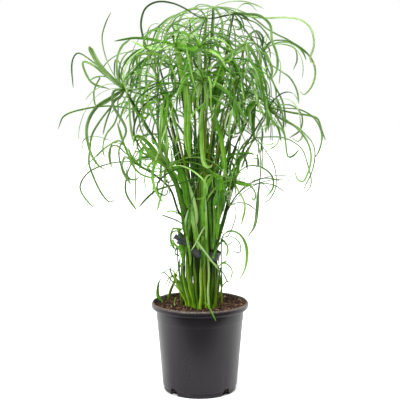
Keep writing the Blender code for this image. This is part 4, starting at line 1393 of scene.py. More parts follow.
@dataclass
class Strands:
    """Strips that are seen at a place and belong to no crown.

    Attributes:
        name: the piece's name.
        rooted: whether they come out of the soil.
        blades: of each, its width and depth in mm, its tone, and the columns and rows that it passes.
        root: how deep they go into the soil.
    """

    name: str
    rooted: bool
    blades: tuple[tuple[float, float, float, Route], ...]
    slot: str = "leaf"
    thickness: float = 0.45 * MM
    root: float = 6 * MM

    def build(self, finish: Material) -> Piece:
        """Build and dress the strips.

        Args:
            finish: their finish.

        Returns:
            The finished piece.
        """
        sheet = Sheet()
        for number, (width, depth, tone, route) in enumerate(self.blades):
            points = [VIEW.sighted(column, row, depth * MM) for column, row in route]
            if self.rooted:
                points.insert(0, points[0] - UP * self.root)
            halves = [width * MM / 2 * (1 - 0.25 * way) for way in shares_along(points)]
            run, twist = Run(points, facing_sides(points), halves), 0.5 - (number % 3) * 0.5
            Ribbon(run, tone, twist, 0.05).draw(sheet)
        sheet.thicken(self.thickness)
        return settle(sheet.piece(self.name, finish), self.slot)


# The pot, its peat and the band


@dataclass
class NurseryPot:
    """The pot: a wall turned from its section, with four notches cut in its foot.

    Attributes:
        wall: thickness of its wall and floor.
        notch: length outwards, width and height of a notch's cutter.
        notch_top_share: width of the cutter's top against its middle.
    """

    height: float = 157 * MM
    rim_radius: float = 85.3 * MM
    collar_top_radius: float = 77.3 * MM
    collar_foot_radius: float = 76.4 * MM
    collar_top: float = 142.5 * MM
    collar_foot: float = 126.8 * MM
    wall_top_radius: float = 75.8 * MM
    wall_foot_radius: float = 65.6 * MM
    foot_band_radius: float = 64.1 * MM
    foot_band_top: float = 9.4 * MM
    wall: float = 1.6 * MM
    hollow_foot_radius: float = 62.3 * MM
    hollow_top_radius: float = 75.6 * MM
    hollow_top: float = 142 * MM
    notch: tuple[float, float, float] = (20 * MM, 17 * MM, 25 * MM)
    notch_top_share: float = 0.65
    notch_round: float = 2.4 * MM
    notch_angles: tuple[int, ...] = (45, 135, 225, 315)
    steps: int = 144

    def inner_radius(self, height: float) -> float:
        """Radius of the hollow at a height under its flared mouth."""
        way = (height - self.wall) / (self.hollow_top - self.wall)
        return self.hollow_foot_radius + (self.hollow_top_radius - self.hollow_foot_radius) * way

    @staticmethod
    def beside(radius: float, height: float, *steps: tuple[float, float]) -> Route:
        """Corners that are so many millimetres out and up from a radius and a height."""
        return tuple((radius + out * MM, height + up * MM) for out, up in steps)

    def section(self) -> list[tuple[float, float]]:
        """The wall's section, up the inside, over the lip and down the outside.

        Returns:
            Radius and height of its corners.
        """
        top, rim, band = self.height, self.rim_radius, self.foot_band_radius
        return [
            (0, self.wall),
            (self.inner_radius(self.wall) - 4 * MM, self.wall),
            (self.inner_radius(5.6 * MM) - 0.6 * MM, 3.9 * MM),
            (self.inner_radius(8 * MM), 8 * MM),
            (self.hollow_top_radius, self.hollow_top),
            *self.beside(
                rim, top, (-5.6, -9.3), (-5.0, -8.2), (-4.4, -1.8), (-4.0, -0.6), (-3.3, -0.1),
                (-2.5, -0.3), (-1.6, -0.9), (-0.9, -1.8), (-0.35, -3.2), (0, -5.2), (0, -7.2),
                (-0.4, -9.0), (-1.1, -10.3), (-2.1, -11.1), (-3.3, -11.4),
            ),
            *self.beside(self.collar_top_radius, self.collar_top, (0.5, 3.0), (0.1, 2.6)),
            *self.beside(self.collar_foot_radius, self.collar_foot, (0, 0.3), (-0.25, -0.1)),
            (self.wall_top_radius, self.collar_foot - 0.8 * MM),
            *self.beside(self.wall_foot_radius, self.foot_band_top, (0, 1.4), (-0.4, 0.5)),
            *self.beside(band, self.foot_band_top, (0.1, 0)),
            *self.beside(
                band, 0, (0, 7.0), (-0.35, 6.5), (-0.1, 6.0), (-0.25, 3.0), (-0.6, 1.4), (-1.3, 0.4),
                (-2.4, 0),
            ),
            (0, 0),
        ]

    def cutter(self, angle: int) -> Piece:
        """Make a block with rounded upper corners that cuts one notch.

        Args:
            angle: where round the foot, in degrees.

        Returns:
            The block.
        """
        mesh, name = bmesh.new(), f"notch_{angle}"
        bmesh.ops.create_cube(mesh, size=1)
        bmesh.ops.scale(mesh, vec=self.notch, verts=mesh.verts)
        for side, share in ((1, self.notch_top_share), (-1, 2 - self.notch_top_share)):
            half = [vert for vert in mesh.verts if vert.co.z * side > 0]
            bmesh.ops.scale(mesh, vec=(1, share, 1), verts=half)
        tops = [edge for edge in mesh.edges if all(vert.co.z > 0 for vert in edge.verts)]
        lengthways = [edge for edge in tops if abs(edge.verts[0].co.y - edge.verts[1].co.y) < MM]
        bmesh.ops.bevel(
            mesh, geom=lengthways, offset=self.notch_round, segments=4, profile=0.5, affect="EDGES",
            material=-1,
        )
        turn = Matrix.Rotation(math.radians(angle), 4, "Z")
        out = Matrix.Translation((self.wall_foot_radius, 0, 0))
        bmesh.ops.transform(mesh, matrix=turn @ out, verts=mesh.verts)
        return put_in_scene(name, mesh_data(name, mesh))

    def build(self, plastic: Material) -> Piece:
        """Build and dress the pot.

        Args:
            plastic: its finish.

        Returns:
            The finished piece.
        """
        mesh = bmesh.new()
        verts = [mesh.verts.new((radius, 0, height)) for radius, height in self.section()]
        edges = [mesh.edges.new(pair) for pair in zip(verts, verts[1:])]
        bmesh.ops.spin(
            mesh, geom=verts + edges, cent=(0, 0, 0), axis=UP, angle=TURN, steps=self.steps, use_merge=True
        )
        bmesh.ops.remove_doubles(mesh, verts=mesh.verts, dist=WELD)
        bmesh.ops.recalc_face_normals(mesh, faces=mesh.faces)
        turned = put_in_scene("turned_pot", mesh_data("turned_pot", mesh))
        cutters = [self.cutter(angle) for angle in self.notch_angles]
        for cutter in cutters:
            cut = turned.modifiers.new(cutter.name, "BOOLEAN")
            cut.operation, cut.solver, cut.object = "DIFFERENCE", "EXACT", cutter
        bpy.context.view_layer.update()
        depsgraph = bpy.context.evaluated_depsgraph_get()
        final = bpy.data.meshes.new_from_object(turned.evaluated_get(depsgraph))
        for spent in [turned, *cutters]:
            bpy.data.objects.remove(spent)
        final.name = "nursery_pot"
        return settle(smooth_piece("nursery_pot", final, plastic), "pot_plastic", "pot")


@dataclass
class RootBall:
    """The peat: a lumpy plug in the pot, loose crumbs and fibres on it.

    Attributes:
        layers: scale of each layer of roughness, and its height. The clump flattens the first.
        rise: how much higher the edge is than the middle.
        clump: radius of the clump's foot.
        clump_edge: width in which the soil becomes open outside it.
        levels: heights of the plug's shoulder and foot.
        gap: how far its side is from the pot.
        knots: points along a fibre.
    """

    pot: NurseryPot
    top: float = 149 * MM
    cells: int = 84
    layers: tuple[tuple[float, float], ...] = ((95, 3.2 * MM), (260, 1.5 * MM), (640, 0.7 * MM))
    rise: float = 2 * MM
    slope: tuple[float, float] = (0.032, 0.006)
    clump: float = 30 * MM
    clump_edge: float = 10 * MM
    edge_radius: float = 79.9 * MM
    edge_heights: tuple[float, float] = (148.6 * MM, 154.5 * MM)
    edge: float = 2 * MM
    levels: tuple[float, float] = (141.7 * MM, 8 * MM)
    gap: float = 0.6 * MM
    crumbs: int = 2300
    lip_crumbs: int = 110
    fibres: int = 150
    knots: int = 5

    def height(self, x: float, y: float) -> float:
        """Height of the surface at a place.

        Args:
            x: metres to the right of the axis.
            y: metres behind it.

        Returns:
            The height.
        """
        away = math.hypot(x, y)
        open_soil = clamped((away - self.clump) / self.clump_edge, 0.15)
        lumps, *finer = (
            noise.noise(Vector((x, y, 0.3 + number)) * scale) * height
            for number, (scale, height) in enumerate(self.layers)
        )
        rough = lumps * open_soil + sum(finer)
        swell = self.rise * (away / self.edge_radius) ** 2 + self.slope[0] * x + self.slope[1] * y
        level = self.top + rough + open_soil * swell
        return clamped(level, *self.edge_heights) if away > self.edge_radius - self.edge else level

    def build_plug(self, peat: Material) -> Piece:
        """Build the plug that fills the pot.

        Args:
            peat: its finish.

        Returns:
            The finished piece.
        """
        sheet = Sheet()

        def place(across: float, way: float) -> Vector:
            """A point of the surface, on rings instead of squares.

            Args:
                across: share of the way from the middle to the right.
                way: share of the way from the front to the back.

            Returns:
                The point.
            """
            along = way * 2 - 1
            spot = Vector((across, along, 0))
            size = max(abs(across), abs(along))
            spot = spot * (size / spot.length * self.edge_radius) if spot.length else spot
            return Vector((spot.x, spot.y, self.height(spot.x, spot.y)))

        for vert in sheet.lay(self.cells, self.cells, 0.3, place):
            vert[sheet.tones] = 0.3 + 0.35 * noise.noise(vert.co * 70)
        for height in self.levels:
            wall = bmesh.ops.extrude_edge_only(sheet.mesh, edges=sheet.open_edges())["geom"]
            low = self.pot.inner_radius(height) - self.gap
            for vert in wall:
                if isinstance(vert, bmesh.types.BMVert):
                    vert.co = Vector((vert.co.x, vert.co.y, 0)).normalized() * low + UP * height
                    # The plug's sides take the near-black tone: painted shade between the peat and the pot.
                    vert[sheet.tones] = 0.05
        sheet.close()
        return settle(sheet.piece("peat_plug", peat), "peat", "soil")

    def draw_crumb(self, sheet: Sheet, on_lip: bool, chance: random.Random) -> None:
        """Draw one crumb where chance puts it.

        Args:
            sheet: what it is drawn in.
            on_lip: whether it lies on the pot's lip.
            chance: the crumbs' own chance.
        """
        radius = (self.edge_radius - 0.8 * MM) * math.sqrt(chance.random())
        angle = chance.uniform(0, TURN)
        size = MM * (0.5 + 1.9 * chance.random() ** 3)
        if on_lip:
            radius = self.pot.rim_radius - chance.uniform(1.0, 3.6) * MM
            size = chance.uniform(0.25, 0.7) * MM
        x, y = radius * math.cos(angle), radius * math.sin(angle)
        verts = bmesh.ops.create_icosphere(sheet.mesh, subdivisions=1, radius=size)["verts"]
        turned = chance.uniform(0, 6.3)
        axis = Vector((chance.random(), chance.random(), 0.4)).normalized()
        turn = Matrix.Rotation(turned, 3, axis)
        stretch = Vector((chance.uniform(0.7, 1.7), chance.uniform(0.6, 1.1), chance.uniform(0.45, 0.9)))
        tone = clamped(chance.gauss(0.42, 0.17))
        if chance.random() < 0.03:
            tone = 0.97
        level = self.pot.height - 0.2 * MM if on_lip else self.height(x, y)
        middle = Vector((x, y, level + size * 0.25))
        for vert in verts:
            jitter = 1 + chance.uniform(-0.28, 0.28)
            vert.co = middle + turn @ (vert.co * stretch * jitter)
            vert[sheet.tones] = tone

    def build_crumbs(self, peat: Material) -> Piece:
        """Build the loose crumbs on the surface and the lip.

        Args:
            peat: their finish.

        Returns:
            The finished piece.
        """
        chance, sheet = random.Random("crumbs"), Sheet()
        for number in range(self.crumbs + self.lip_crumbs):
            self.draw_crumb(sheet, number >= self.crumbs, chance)
        return settle(sheet.piece("peat_crumbs", peat), "peat")

    def draw_fibre(self, sheet: Sheet, chance: random.Random) -> None:
        """Draw one fibre where chance puts it.

        Args:
            sheet: what it is drawn in.
            chance: the fibres' own chance.
        """
        limit = self.edge_radius - 4 * MM
        radius, bearing = limit * math.sqrt(chance.random()), chance.uniform(0, TURN)
        spot = Vector((radius * math.cos(bearing), radius * math.sin(bearing), 0))
        aim, bend = chance.uniform(0, TURN), chance.uniform(-1.5, 1.5)
        length = chance.uniform(6, 20) * MM
        points = []
        for step in range(self.knots):
            level = self.height(spot.x, spot.y) + chance.uniform(0.5, 1.6) * MM
            points.append(Vector((spot.x, spot.y, level)))
            heading = aim + bend * step / 4
            onward = spot + Vector((math.cos(heading), math.sin(heading), 0)) * length / 4
            spot = onward if onward.length < limit else spot * 0.97
        half = chance.uniform(0.25, 0.6) * MM
        sides = carried_sides(points, UP.cross(Vector((1, 0.2, 0))))
        run = Run(points, sides, [half] * self.knots)
        Ribbon(run, chance.uniform(0.5, 1.0), 0.8, 0.0, step=3 * MM).draw(sheet)

    def build_fibres(self, peat: Material) -> Piece:
        """Build the fibres that lie on the surface.

        Args:
            peat: their finish.

        Returns:
            The finished piece.
        """
        chance, sheet = random.Random("fibres"), Sheet()
        for _ in range(self.fibres):
            self.draw_fibre(sheet, chance)
        sheet.thicken(0.3 * MM)
        return settle(sheet.piece("peat_fibres", peat), "peat")


@dataclass
class TieBand:
    """The strap that holds the culms together, tilted, with a loose end.

    Attributes:
        tilt: how far its right side is turned down.
        tail_half: half the width of the loose end at its root.
        pinches: how often round the band it is pulled in between culms.
        pinch: how far.
        sag: how far the strap's middle stands out, and how uneven it is.
    """

    height: float = 247 * MM
    centre_x: float = -1.0 * MM
    radius: float = 35.6 * MM
    width: float = 14 * MM
    thickness: float = 1.3 * MM
    tilt: float = math.radians(15.5)
    tail: float = 14 * MM
    tail_half: float = 4.2 * MM
    pinches: int = 11
    pinch: float = 0.35 * MM
    sag: float = 0.5 * MM
    around: int = 96

    def band_point(self, turn: float, way: float) -> Vector:
        """A point of the band, pulled in a little between the culms that it holds.

        Args:
            turn: share of the way round, from -1 to 1.
            way: share of the way up.

        Returns:
            The point, before the band is tilted.
        """
        angle = math.pi * (turn + 1)
        pinch = self.pinch * math.sin(angle * self.pinches)
        pinch += self.sag * noise.noise(Vector((angle * 2, way, 0)))
        size = self.radius + pinch + self.sag * math.sin(math.pi * way)
        return Vector((size * math.cos(angle), size * math.sin(angle), (way - 0.5) * self.width))

    def tail_point(self, across: float, way: float) -> Vector:
        """A point of the loose end.

        Args:
            across: share of the way across, from -1 to 1.
            way: share of the way down.

        Returns:
            The point, before the band is tilted.
        """
        out = self.radius + 1.7 * MM + 3.0 * MM * way * way
        down = self.width * 0.1 + way * self.tail * 1.4
        return Vector((out, across * self.tail_half * (1 - 0.3 * way), -down))

    def build(self, strap: Material) -> Piece:
        """Build and dress the band.

        Args:
            strap: its finish.

        Returns:
            The finished piece.
        """
        sheet = Sheet()
        sheet.weld(sheet.lay(self.around, 4, 0.4, self.band_point))
        sheet.lay(3, 8, 0.3, self.tail_point)
        stand = Matrix.Translation((self.centre_x, 0, self.height)) @ Matrix.Rotation(self.tilt, 4, "Y")
        bmesh.ops.transform(sheet.mesh, matrix=stand, verts=sheet.mesh.verts)
        piece = sheet.piece("tie_strap", strap)
        thick = piece.modifiers.new("thickness", "SOLIDIFY")
        thick.thickness = self.thickness
        thick.offset = 1
        return settle(piece, "tie_rubber", "tie_band")


# The studio


@dataclass(frozen=True)
class SoftBox:
    """A soft box of the studio.

    Attributes:
        place: where its middle is.
        aim: what it points at.
        size: width and height.
        radiance: how bright its face is, where white paper under full light is 1.
    """

    place: tuple[float, float, float]
    aim: tuple[float, float, float]
    size: tuple[float, float]
    radiance: float


@dataclass(frozen=True)
class FarLight:
    """A far soft light that points at the pot's foot.

    Attributes:
        place: where it stands.
        strength: how strong it is.
        width: how wide it is, in degrees.
    """

    place: tuple[float, float, float]
    strength: float
    width: float


@dataclass
class Studio:
    """White floor and surround, long soft boxes on both sides, and soft light from above.

    Attributes:
        reach: how far the floor goes to each side and to the back.
        front: where its front edge is.
        boxes: the soft boxes by name.
        suns: the far lights by name.
        seen: how bright the surround looks.
        fill: how much light it gives.
    """

    reach: float = 9.0
    front: float = -0.15
    boxes: dict[str, SoftBox] = field(default_factory=lambda: {
        "left_box": SoftBox((-1.5, -0.1, 0.75), (0, -0.1, 0.6), (5.2, 1.7), 1.0),
        "right_box": SoftBox((1.5, 1.35, 0.75), (0, 1.35, 0.6), (2.6, 1.7), 1.0),
    })
    suns: dict[str, FarLight] = field(default_factory=lambda: {
        "overhead": FarLight((0.1, -0.15, 1.0), 3.6, 50),
        "key": FarLight((-0.75, -0.9, 0.95), 2.1, 24),
        "back": FarLight((1.1, 0.5, 0.75), 0.9, 30),
    })
    seen: float = 1.0
    fill: float = 0.38
    cells: int = 24

    def floor_point(self, across: float, way: float) -> Vector:
        """A point of the floor, by its shares of the way across and back."""
        return Vector((across * self.reach, self.front + way * (self.reach - self.front), 0))

    def build_floor(self, paper: Material) -> Piece:
        """Build the floor, a wide flat sheet.

        Args:
            paper: its finish.

        Returns:
            The finished floor.
        """
        sheet = Sheet()
        sheet.lay(self.cells, self.cells, 0, self.floor_point)
        floor = sheet.piece("floor", paper)
        return floor

    def add_light(self, kind: str, name: str, place: Vector, aim: Vector) -> bpy.types.Light:
        """Add a light that points at a place.

        Args:
            kind: Blender's name for its kind.
            name: its name.
            place: where it stands.
            aim: what it points at.

        Returns:
            The light.
        """
        lamp = bpy.data.lights.new(name, kind)
        stand = put_in_scene(name, lamp)
        stand.location = place
        stand.rotation_euler = (aim - place).to_track_quat("-Z", "Y").to_euler()
        stand.visible_camera = False
        return lamp

    def build_surround(self) -> None:
        """Build a white surround that gives less light than it shows."""
        world = bpy.data.worlds.new("surround")
        world.use_nodes = True
        nodes, links = world.node_tree.nodes, world.node_tree.links
        background = nodes["Background"]
        background.inputs["Color"].default_value = (1, 1, 1, 1)
        ray = nodes.new("ShaderNodeLightPath")
        strength = nodes.new("ShaderNodeMapRange")
        strength.inputs[3].default_value = self.fill
        strength.inputs[4].default_value = self.seen
        links.new(ray.outputs["Is Camera Ray"], strength.inputs[0])
        links.new(strength.outputs[0], background.inputs["Strength"])
        bpy.context.scene.world = world

    def build(self, paper: Material) -> None:
        """Build the floor, the lights and the surround.

        Args:
            paper: finish of the floor.
        """
        self.build_floor(paper)
        for name, box in self.boxes.items():
            lamp = self.add_light("AREA", name, Vector(box.place), Vector(box.aim))
            lamp.shape = "RECTANGLE"
            lamp.size, lamp.size_y = box.size
            lamp.energy = box.radiance * math.pi * box.size[0] * box.size[1]
        for name, sun in self.suns.items():
            lamp = self.add_light("SUN", name, Vector(sun.place), Vector())
            lamp.energy, lamp.angle = sun.strength, math.radians(sun.width)
        self.build_surround()
        bpy.context.scene.view_settings.view_transform = "Standard"


# Shoots that differ from the rest

# Shoots at the back of the mass: their leaves take the darker SHADED tone, which paints their shade.
SHADED_SHOOTS = (
    "shoot_back", "shoot_back_left", "shoot_back_left_low", "shoot_back_low", "shoot_back_right",
    "shoot_back_right_low", "shoot_back_top",
)
BRIGHT_SHOOTS = (
    "shoot_front", "shoot_front_left", "shoot_top", "shoot_top_front", "shoot_top_right",
    "shoot_left_low", "shoot_right", "shoot_left_far", "shoot_right_far", "shoot_right_low",
)
TOP_SHOOTS = (
    "shoot_top", "shoot_top_front", "shoot_top_left", "shoot_top_right", "shoot_back_top",
    "shoot_back_right", "shoot_right_high",
)
BARE_SHOOTS = (
    "shoot_left_edge", "shoot_right_edge", "shoot_foot_left", "shoot_foot_right", "shoot_young_left",
)
OUTER_SHOOTS = (
    "shoot_left", "shoot_left_far", "shoot_left_thin", "shoot_right", "shoot_right_far", "shoot_right_low",
    "shoot_right_small",
)
SLIM_CULMS = (
    "shoot_foot_left", "shoot_foot_right", "shoot_right_edge", "shoot_left_edge", "shoot_right_small",
)

MARKED = {
    "shoot_top_left": ((148, 50, 0.12, 0.58),),
    "shoot_front_left": ((199, 50, 0.24, 1.0),),
    "shoot_left": (
        (128, 178, 0.18, 0.62), (89, 46.5, 0.6, 1.0), (110, 89, 0.45, 0.8), (73, 88, 0.42, 0.7),
        (107, 171, 0.45, 0.9), (131, 39, 0.45, 1.0), (149, 48, 0.45, 1.0),
    ),
    "shoot_left_low": (
        (133, 147, 0.45, 1.0), (151, 138, 0.5, 1.0), (163, 128, 0.4, 1.0), (164, 204, 0.4, 0.9),
    ),
    "shoot_left_thin": ((94, 200, 0.35, 1.1), (137, 211, 0.4, 1.1), (131, 185, 0.4, 1.1)),
    "shoot_right": (
        (314, 159, 0.42, 0.8), (294, 169, 0.55, 0.8), (302, 192, 0.45, 0.75), (300, 148, 0.42, 0.9),
        (289, 138, 0.4, 0.8), (283, 117, 0.4, 0.9),
    ),
    "shoot_right_low": ((247, 237, 0.5, 0.5), (304, 195, 0.5, 0.8), (260, 203, 0.45, 0.8)),
    "shoot_young_left": ((167, 300, 0.4, 1.0),),
    "shoot_foot_right": ((192, 224, 0.68, 0.36),),
    "shoot_right_edge": ((237, 281, 0.4, 0.22), (231, 251, 0.3, 0.8)),
}

TRACED = {
    "shoot_front_left": (
        Traced(11.0, -14, 0.62, (
            (177, 50), (178.5, 58), (181, 68), (184, 80), (186.5, 92), (187.5, 104), (187.5, 118),
            (187, 132), (188, 146), (190, 158),
        )),
        Traced(9.0, -6, 0.24, ((181, 48.5), (188, 49.5), (196, 49))),
    ),
    "shoot_front": (
        Traced(6.2, -8, 0.9, ((199.5, 52), (199, 62), (198.6, 74), (198.3, 84), (197, 95))),
        Traced(5.4, -20, 0.5, (
            (205, 48.5), (211, 50), (217, 53.5), (221, 58), (223, 64), (223.5, 72), (222, 80),
        )),
    ),
    "shoot_centre": (
        Traced(3.4, -6, 0.7, ((202, 85), (199, 95), (197, 104), (199, 107.5), (203, 105), (206, 100))),
        Traced(6.5, -4, 0.76, ((205, 84), (206.5, 92), (206.5, 100), (206, 110))),
        Traced(4.6, 20, 0.85, (
            (208, 80.5), (215, 83), (222, 87), (229, 94), (235, 101.5), (240, 109), (244, 117),
            (247, 124),
        )),
        Traced(2.6, 10, 0.7, ((208, 78.5), (213, 77), (220, 75), (228, 73))),
    ),
    "shoot_centre_low": (
        Traced(6.4, -16, 0.72, (
            (204, 104), (202, 112), (201, 122), (201.3, 132), (201.7, 144), (202.3, 154), (203.5, 162),
            (206, 166.5), (210, 167), (213, 164),
        )),
        Traced(2.8, -10, 0.75, ((210, 96), (216, 98.5), (221, 102), (226, 106.5))),
        Traced(7.2, -12, 0.5, (
            (210, 104), (213, 113), (216, 121), (219, 130), (221.5, 139), (223, 149), (224.5, 159),
            (225, 168), (225, 176),
        )),
    ),
    "shoot_middle": (
        Traced(13.0, -24, 0.3, (
            (222, 68), (221, 76), (219, 86), (217.5, 97), (216.5, 107), (214.5, 116), (212, 124),
        )),
        Traced(5.0, -10, 0.05, ((226, 60.5), (230, 61.5), (234, 64.5), (236.5, 70), (237, 76))),
    ),
    "shoot_right_high": (
        Traced(3.4, -40, 0.6, ((241, 48), (234, 52.5), (226, 57.5), (218, 63), (210, 69))),
    ),
    "shoot_right_far": (
        Traced(6.6, -50, 0.36, ((261, 56), (260, 64), (260, 74), (261, 84), (263, 93), (265, 102))),
    ),
    "shoot_right_inner_low": (
        Traced(9.0, -6, 0.34, ((253, 104), (250, 107), (248, 111), (247, 117))),
        Traced(5.0, 0, 0.35, ((254.5, 112), (253.5, 122), (253.5, 132), (254, 139))),
    ),
    "shoot_left_inner": (
        Traced(6.5, -34, 0.62, (
            (168, 104), (166, 112), (164.5, 122), (165.5, 134), (167, 144), (168, 153),
        )),
        Traced(3.4, -12, 0.4, ((158, 101), (149, 105), (152, 113), (154, 119), (158, 127))),
        Traced(2.6, 14, 0.35, ((150, 100), (137, 103), (140, 115), (146, 128), (150, 134))),
    ),
    "shoot_left_thin": (
        Traced(4.6, -10, 0.35, (
            (131, 158), (124, 152), (117, 146), (111.5, 146), (109.5, 153), (110, 161), (112, 168),
        ), 0.75),
        Traced(5.4, -20, 0.28, (
            (130, 160), (125, 156), (122, 163), (123, 171), (127, 178), (131, 184),
        ), 0.75),
        Traced(3.0, -16, 0.4, (
            (133, 160), (128, 166), (126.5, 173), (130, 179), (136, 179.5), (141, 175),
        ), 0.7),
        Traced(3.0, 10, 0.45, ((120, 141), (106, 147), (95, 157), (84, 168), (79, 180)), 0.4),
    ),
    "shoot_left": (
        Traced(2.4, 8, 0.4, ((132, 104), (139, 118), (140, 126), (142, 132), (145, 137))),
        Traced(2.6, 20, 0.3, ((120, 96), (114, 100), (110, 111), (106, 122), (103, 135))),
        Traced(2.4, -10, 0.5, (
            (112, 99), (104, 104), (96, 106), (94, 98), (94, 91), (97, 83), (100, 77), (92, 78),
        )),
        Traced(3.0, 30, 0.4, (
            (122, 95), (117, 99), (110, 108), (100, 121), (92, 135), (90, 148), (89, 163), (94, 178),
            (102, 194), (110, 202), (118, 197),
        )),
        Traced(2.6, -24, 0.5, (
            (122, 96), (118, 100), (118, 112), (114, 124), (107, 133), (103, 145), (104, 155), (107, 158),
        )),
    ),
    "shoot_left_low": (
        Traced(8.0, -26, 0.7, (
            (166, 168), (158, 160.5), (150, 153), (143, 144.5), (138, 138), (134.5, 137),
        ), 0.5),
        Traced(6.5, -18, 0.82, ((168, 166), (163.5, 159), (159, 150), (156, 142)), 0.5),
        Traced(5.5, -30, 0.5, ((164, 166), (155, 160), (147, 155), (140, 152), (133, 151)), 0.5),
        Traced(5.0, -22, 0.7, ((167, 160), (165, 150), (160, 140), (153, 133)), 0.6),
        Traced(4.4, -20, 0.3, (
            (160, 172), (152, 171), (143, 168), (136, 162), (131, 155), (128, 146),
        ), 0.6),
        Traced(5.0, -14, 0.92, (
            (172, 168), (179, 170), (185, 177), (189, 187), (192.5, 196), (195, 205), (196.5, 214),
            (197, 224),
        )),
        Traced(10.0, -16, 0.24, (
            (173, 168), (179, 170), (183, 177), (185.5, 187), (186.5, 197), (187.5, 208),
        )),
        Traced(5.0, -10, 0.12, ((172, 176), (177, 186), (180, 198), (182, 210), (183, 222), (184, 234))),
        Traced(4.5, -12, 0.45, ((174, 172), (181, 184), (186, 196), (189, 206), (190, 218), (189, 230))),
    ),
    "shoot_left_edge": (
        Traced(7.5, -22, 0.8, ((185, 224), (187, 219), (189, 213.5), (190.5, 208.5), (191.5, 203))),
    ),
    "shoot_front_low": (
        Traced(3.4, -12, 0.72, (
            (207, 176), (204.5, 184), (204.3, 194), (205.3, 204), (206, 216), (206, 228), (206, 240),
        )),
        Traced(11.0, -14, 0.3, (
            (217, 176), (220, 180), (221, 186), (219.5, 193), (216.5, 200), (214, 207),
        )),
        Traced(6.0, -8, 0.38, ((208, 182), (204, 192), (202.5, 204), (203, 216), (203.5, 228))),
        Traced(6.0, -4, 0.42, (
            (216, 180), (218, 192), (219, 204), (218.5, 216), (217.5, 228), (217, 240),
        )),
        Traced(5.0, -2, 0.55, ((221, 178), (223, 186), (222, 198), (220, 210), (219, 222))),
    ),
    "shoot_right_low": (
        Traced(6.0, -31, 0.46, (
            (258, 145), (260.5, 160), (260, 178), (258, 195), (257, 210), (255, 224), (251, 232),
            (246, 238),
        ), 0.72),
    ),
    "shoot_right_edge": (
        Traced(6.0, -14, 0.74, (
            (224, 234), (230, 231), (237, 232.5), (243, 238), (246.5, 247), (247, 257), (245.5, 267),
            (242, 275), (238, 280),
        ), 0.58),
    ),
    "shoot_right": (
        Traced(2.8, 12, 0.4, ((290, 112), (312, 116), (318, 119), (322, 131), (326, 141))),
    ),
    "shoot_left_far": (
        Traced(3.6, 10, 0.4, ((154, 54), (160, 54), (162, 63), (170, 68))),
    ),
    "shoot_right_middle": (
        Traced(3.2, -14, 0.5, ((235, 180), (237, 176), (239, 166), (240, 155))),
    ),
}

BASE_BLADES = (
    (6.0, 4, 0.04, ((190, 300), (188, 285), (187, 270), (187, 255))),
    (6.0, 8, 0.10, ((196, 302), (195, 285), (194, 270), (194, 252))),
    (6.0, 6, 0.04, ((201, 302), (201, 285), (200, 270), (200, 252))),
    (6.0, 8, 0.12, ((208, 302), (208, 285), (208, 270), (208, 252))),
    (6.0, 5, 0.05, ((214, 301), (215, 285), (216, 270), (216, 254))),
    (3.6, -24, 0.62, ((186, 302), (181, 293), (177, 285), (174.5, 277), (174, 268))),
    (3.2, -20, 0.08, ((188, 300), (181, 290), (176, 281), (171, 273), (170, 265))),
    (3.0, -22, 0.85, ((190, 303), (184, 293), (179, 285), (175, 280))),
    (3.4, -24, 0.30, ((191, 303), (186, 294), (181, 286), (177, 279), (173, 276))),
    (4.2, -30, 0.10, ((192, 304), (188, 292), (185, 280), (183, 266), (182, 254))),
    (3.4, -16, 0.38, ((190, 301), (184, 289), (182, 278), (181, 262))),
    (4.4, -33, 0.50, ((194, 304), (190, 290), (188, 276), (187, 262), (186, 252))),
    (3.8, -34, 0.12, ((195, 305), (193, 290), (191, 275), (190, 260))),
    (2.2, -12, 0.45, ((187, 299), (180, 291), (174, 284), (168, 276), (163, 272), (160, 275))),
    (2.2, -20, 0.20, ((189, 301), (182, 292), (177, 282), (172, 276), (167, 281), (166, 287))),
    (4.2, -35, 0.74, ((200, 306), (201, 292), (200.5, 276), (201.5, 262), (202, 250))),
    (3.4, -35, 0.92, ((209, 306), (208, 291), (209, 276), (208, 260), (206, 246))),
    (3.4, -30, 0.14, ((214, 305), (217, 291), (219, 277), (221, 266))),
    (2.6, -26, 0.34, ((216, 304), (220, 294), (223, 285), (228, 281), (231, 284))),
    (3.0, -32, 0.55, ((206, 306), (205, 290), (203.5, 274), (204.5, 262), (207, 250))),
    (3.4, -34, 0.25, ((198, 306), (196, 292), (195.5, 276), (194, 262), (195, 250))),
    (1.8, -14, 0.78, ((174.5, 302), (175, 299.5), (176.5, 297))),
    (3.6, -26, 0.16, ((187, 302), (183, 290), (180.5, 279), (179, 268), (180, 257))),
    (3.2, -28, 0.60, ((189, 303), (185.5, 290), (183.5, 279), (183, 268), (184, 258))),
    (3.0, -22, 0.06, ((186, 300), (180, 288), (176.5, 280))),
    (3.0, -28, 0.35, ((215, 304), (218, 292), (219.5, 280), (219, 268))),
    (2.6, -24, 0.12, ((217, 303), (221, 291), (222, 281), (221, 270))),
    (5.0, -20, 0.02, ((193, 303), (191, 285), (189, 270), (188, 255))),
    (5.0, -20, 0.04, ((204, 305), (203.5, 288), (203, 270), (203, 255))),
    (5.0, -20, 0.02, ((211, 305), (212, 290), (213, 272), (213, 256))),
)
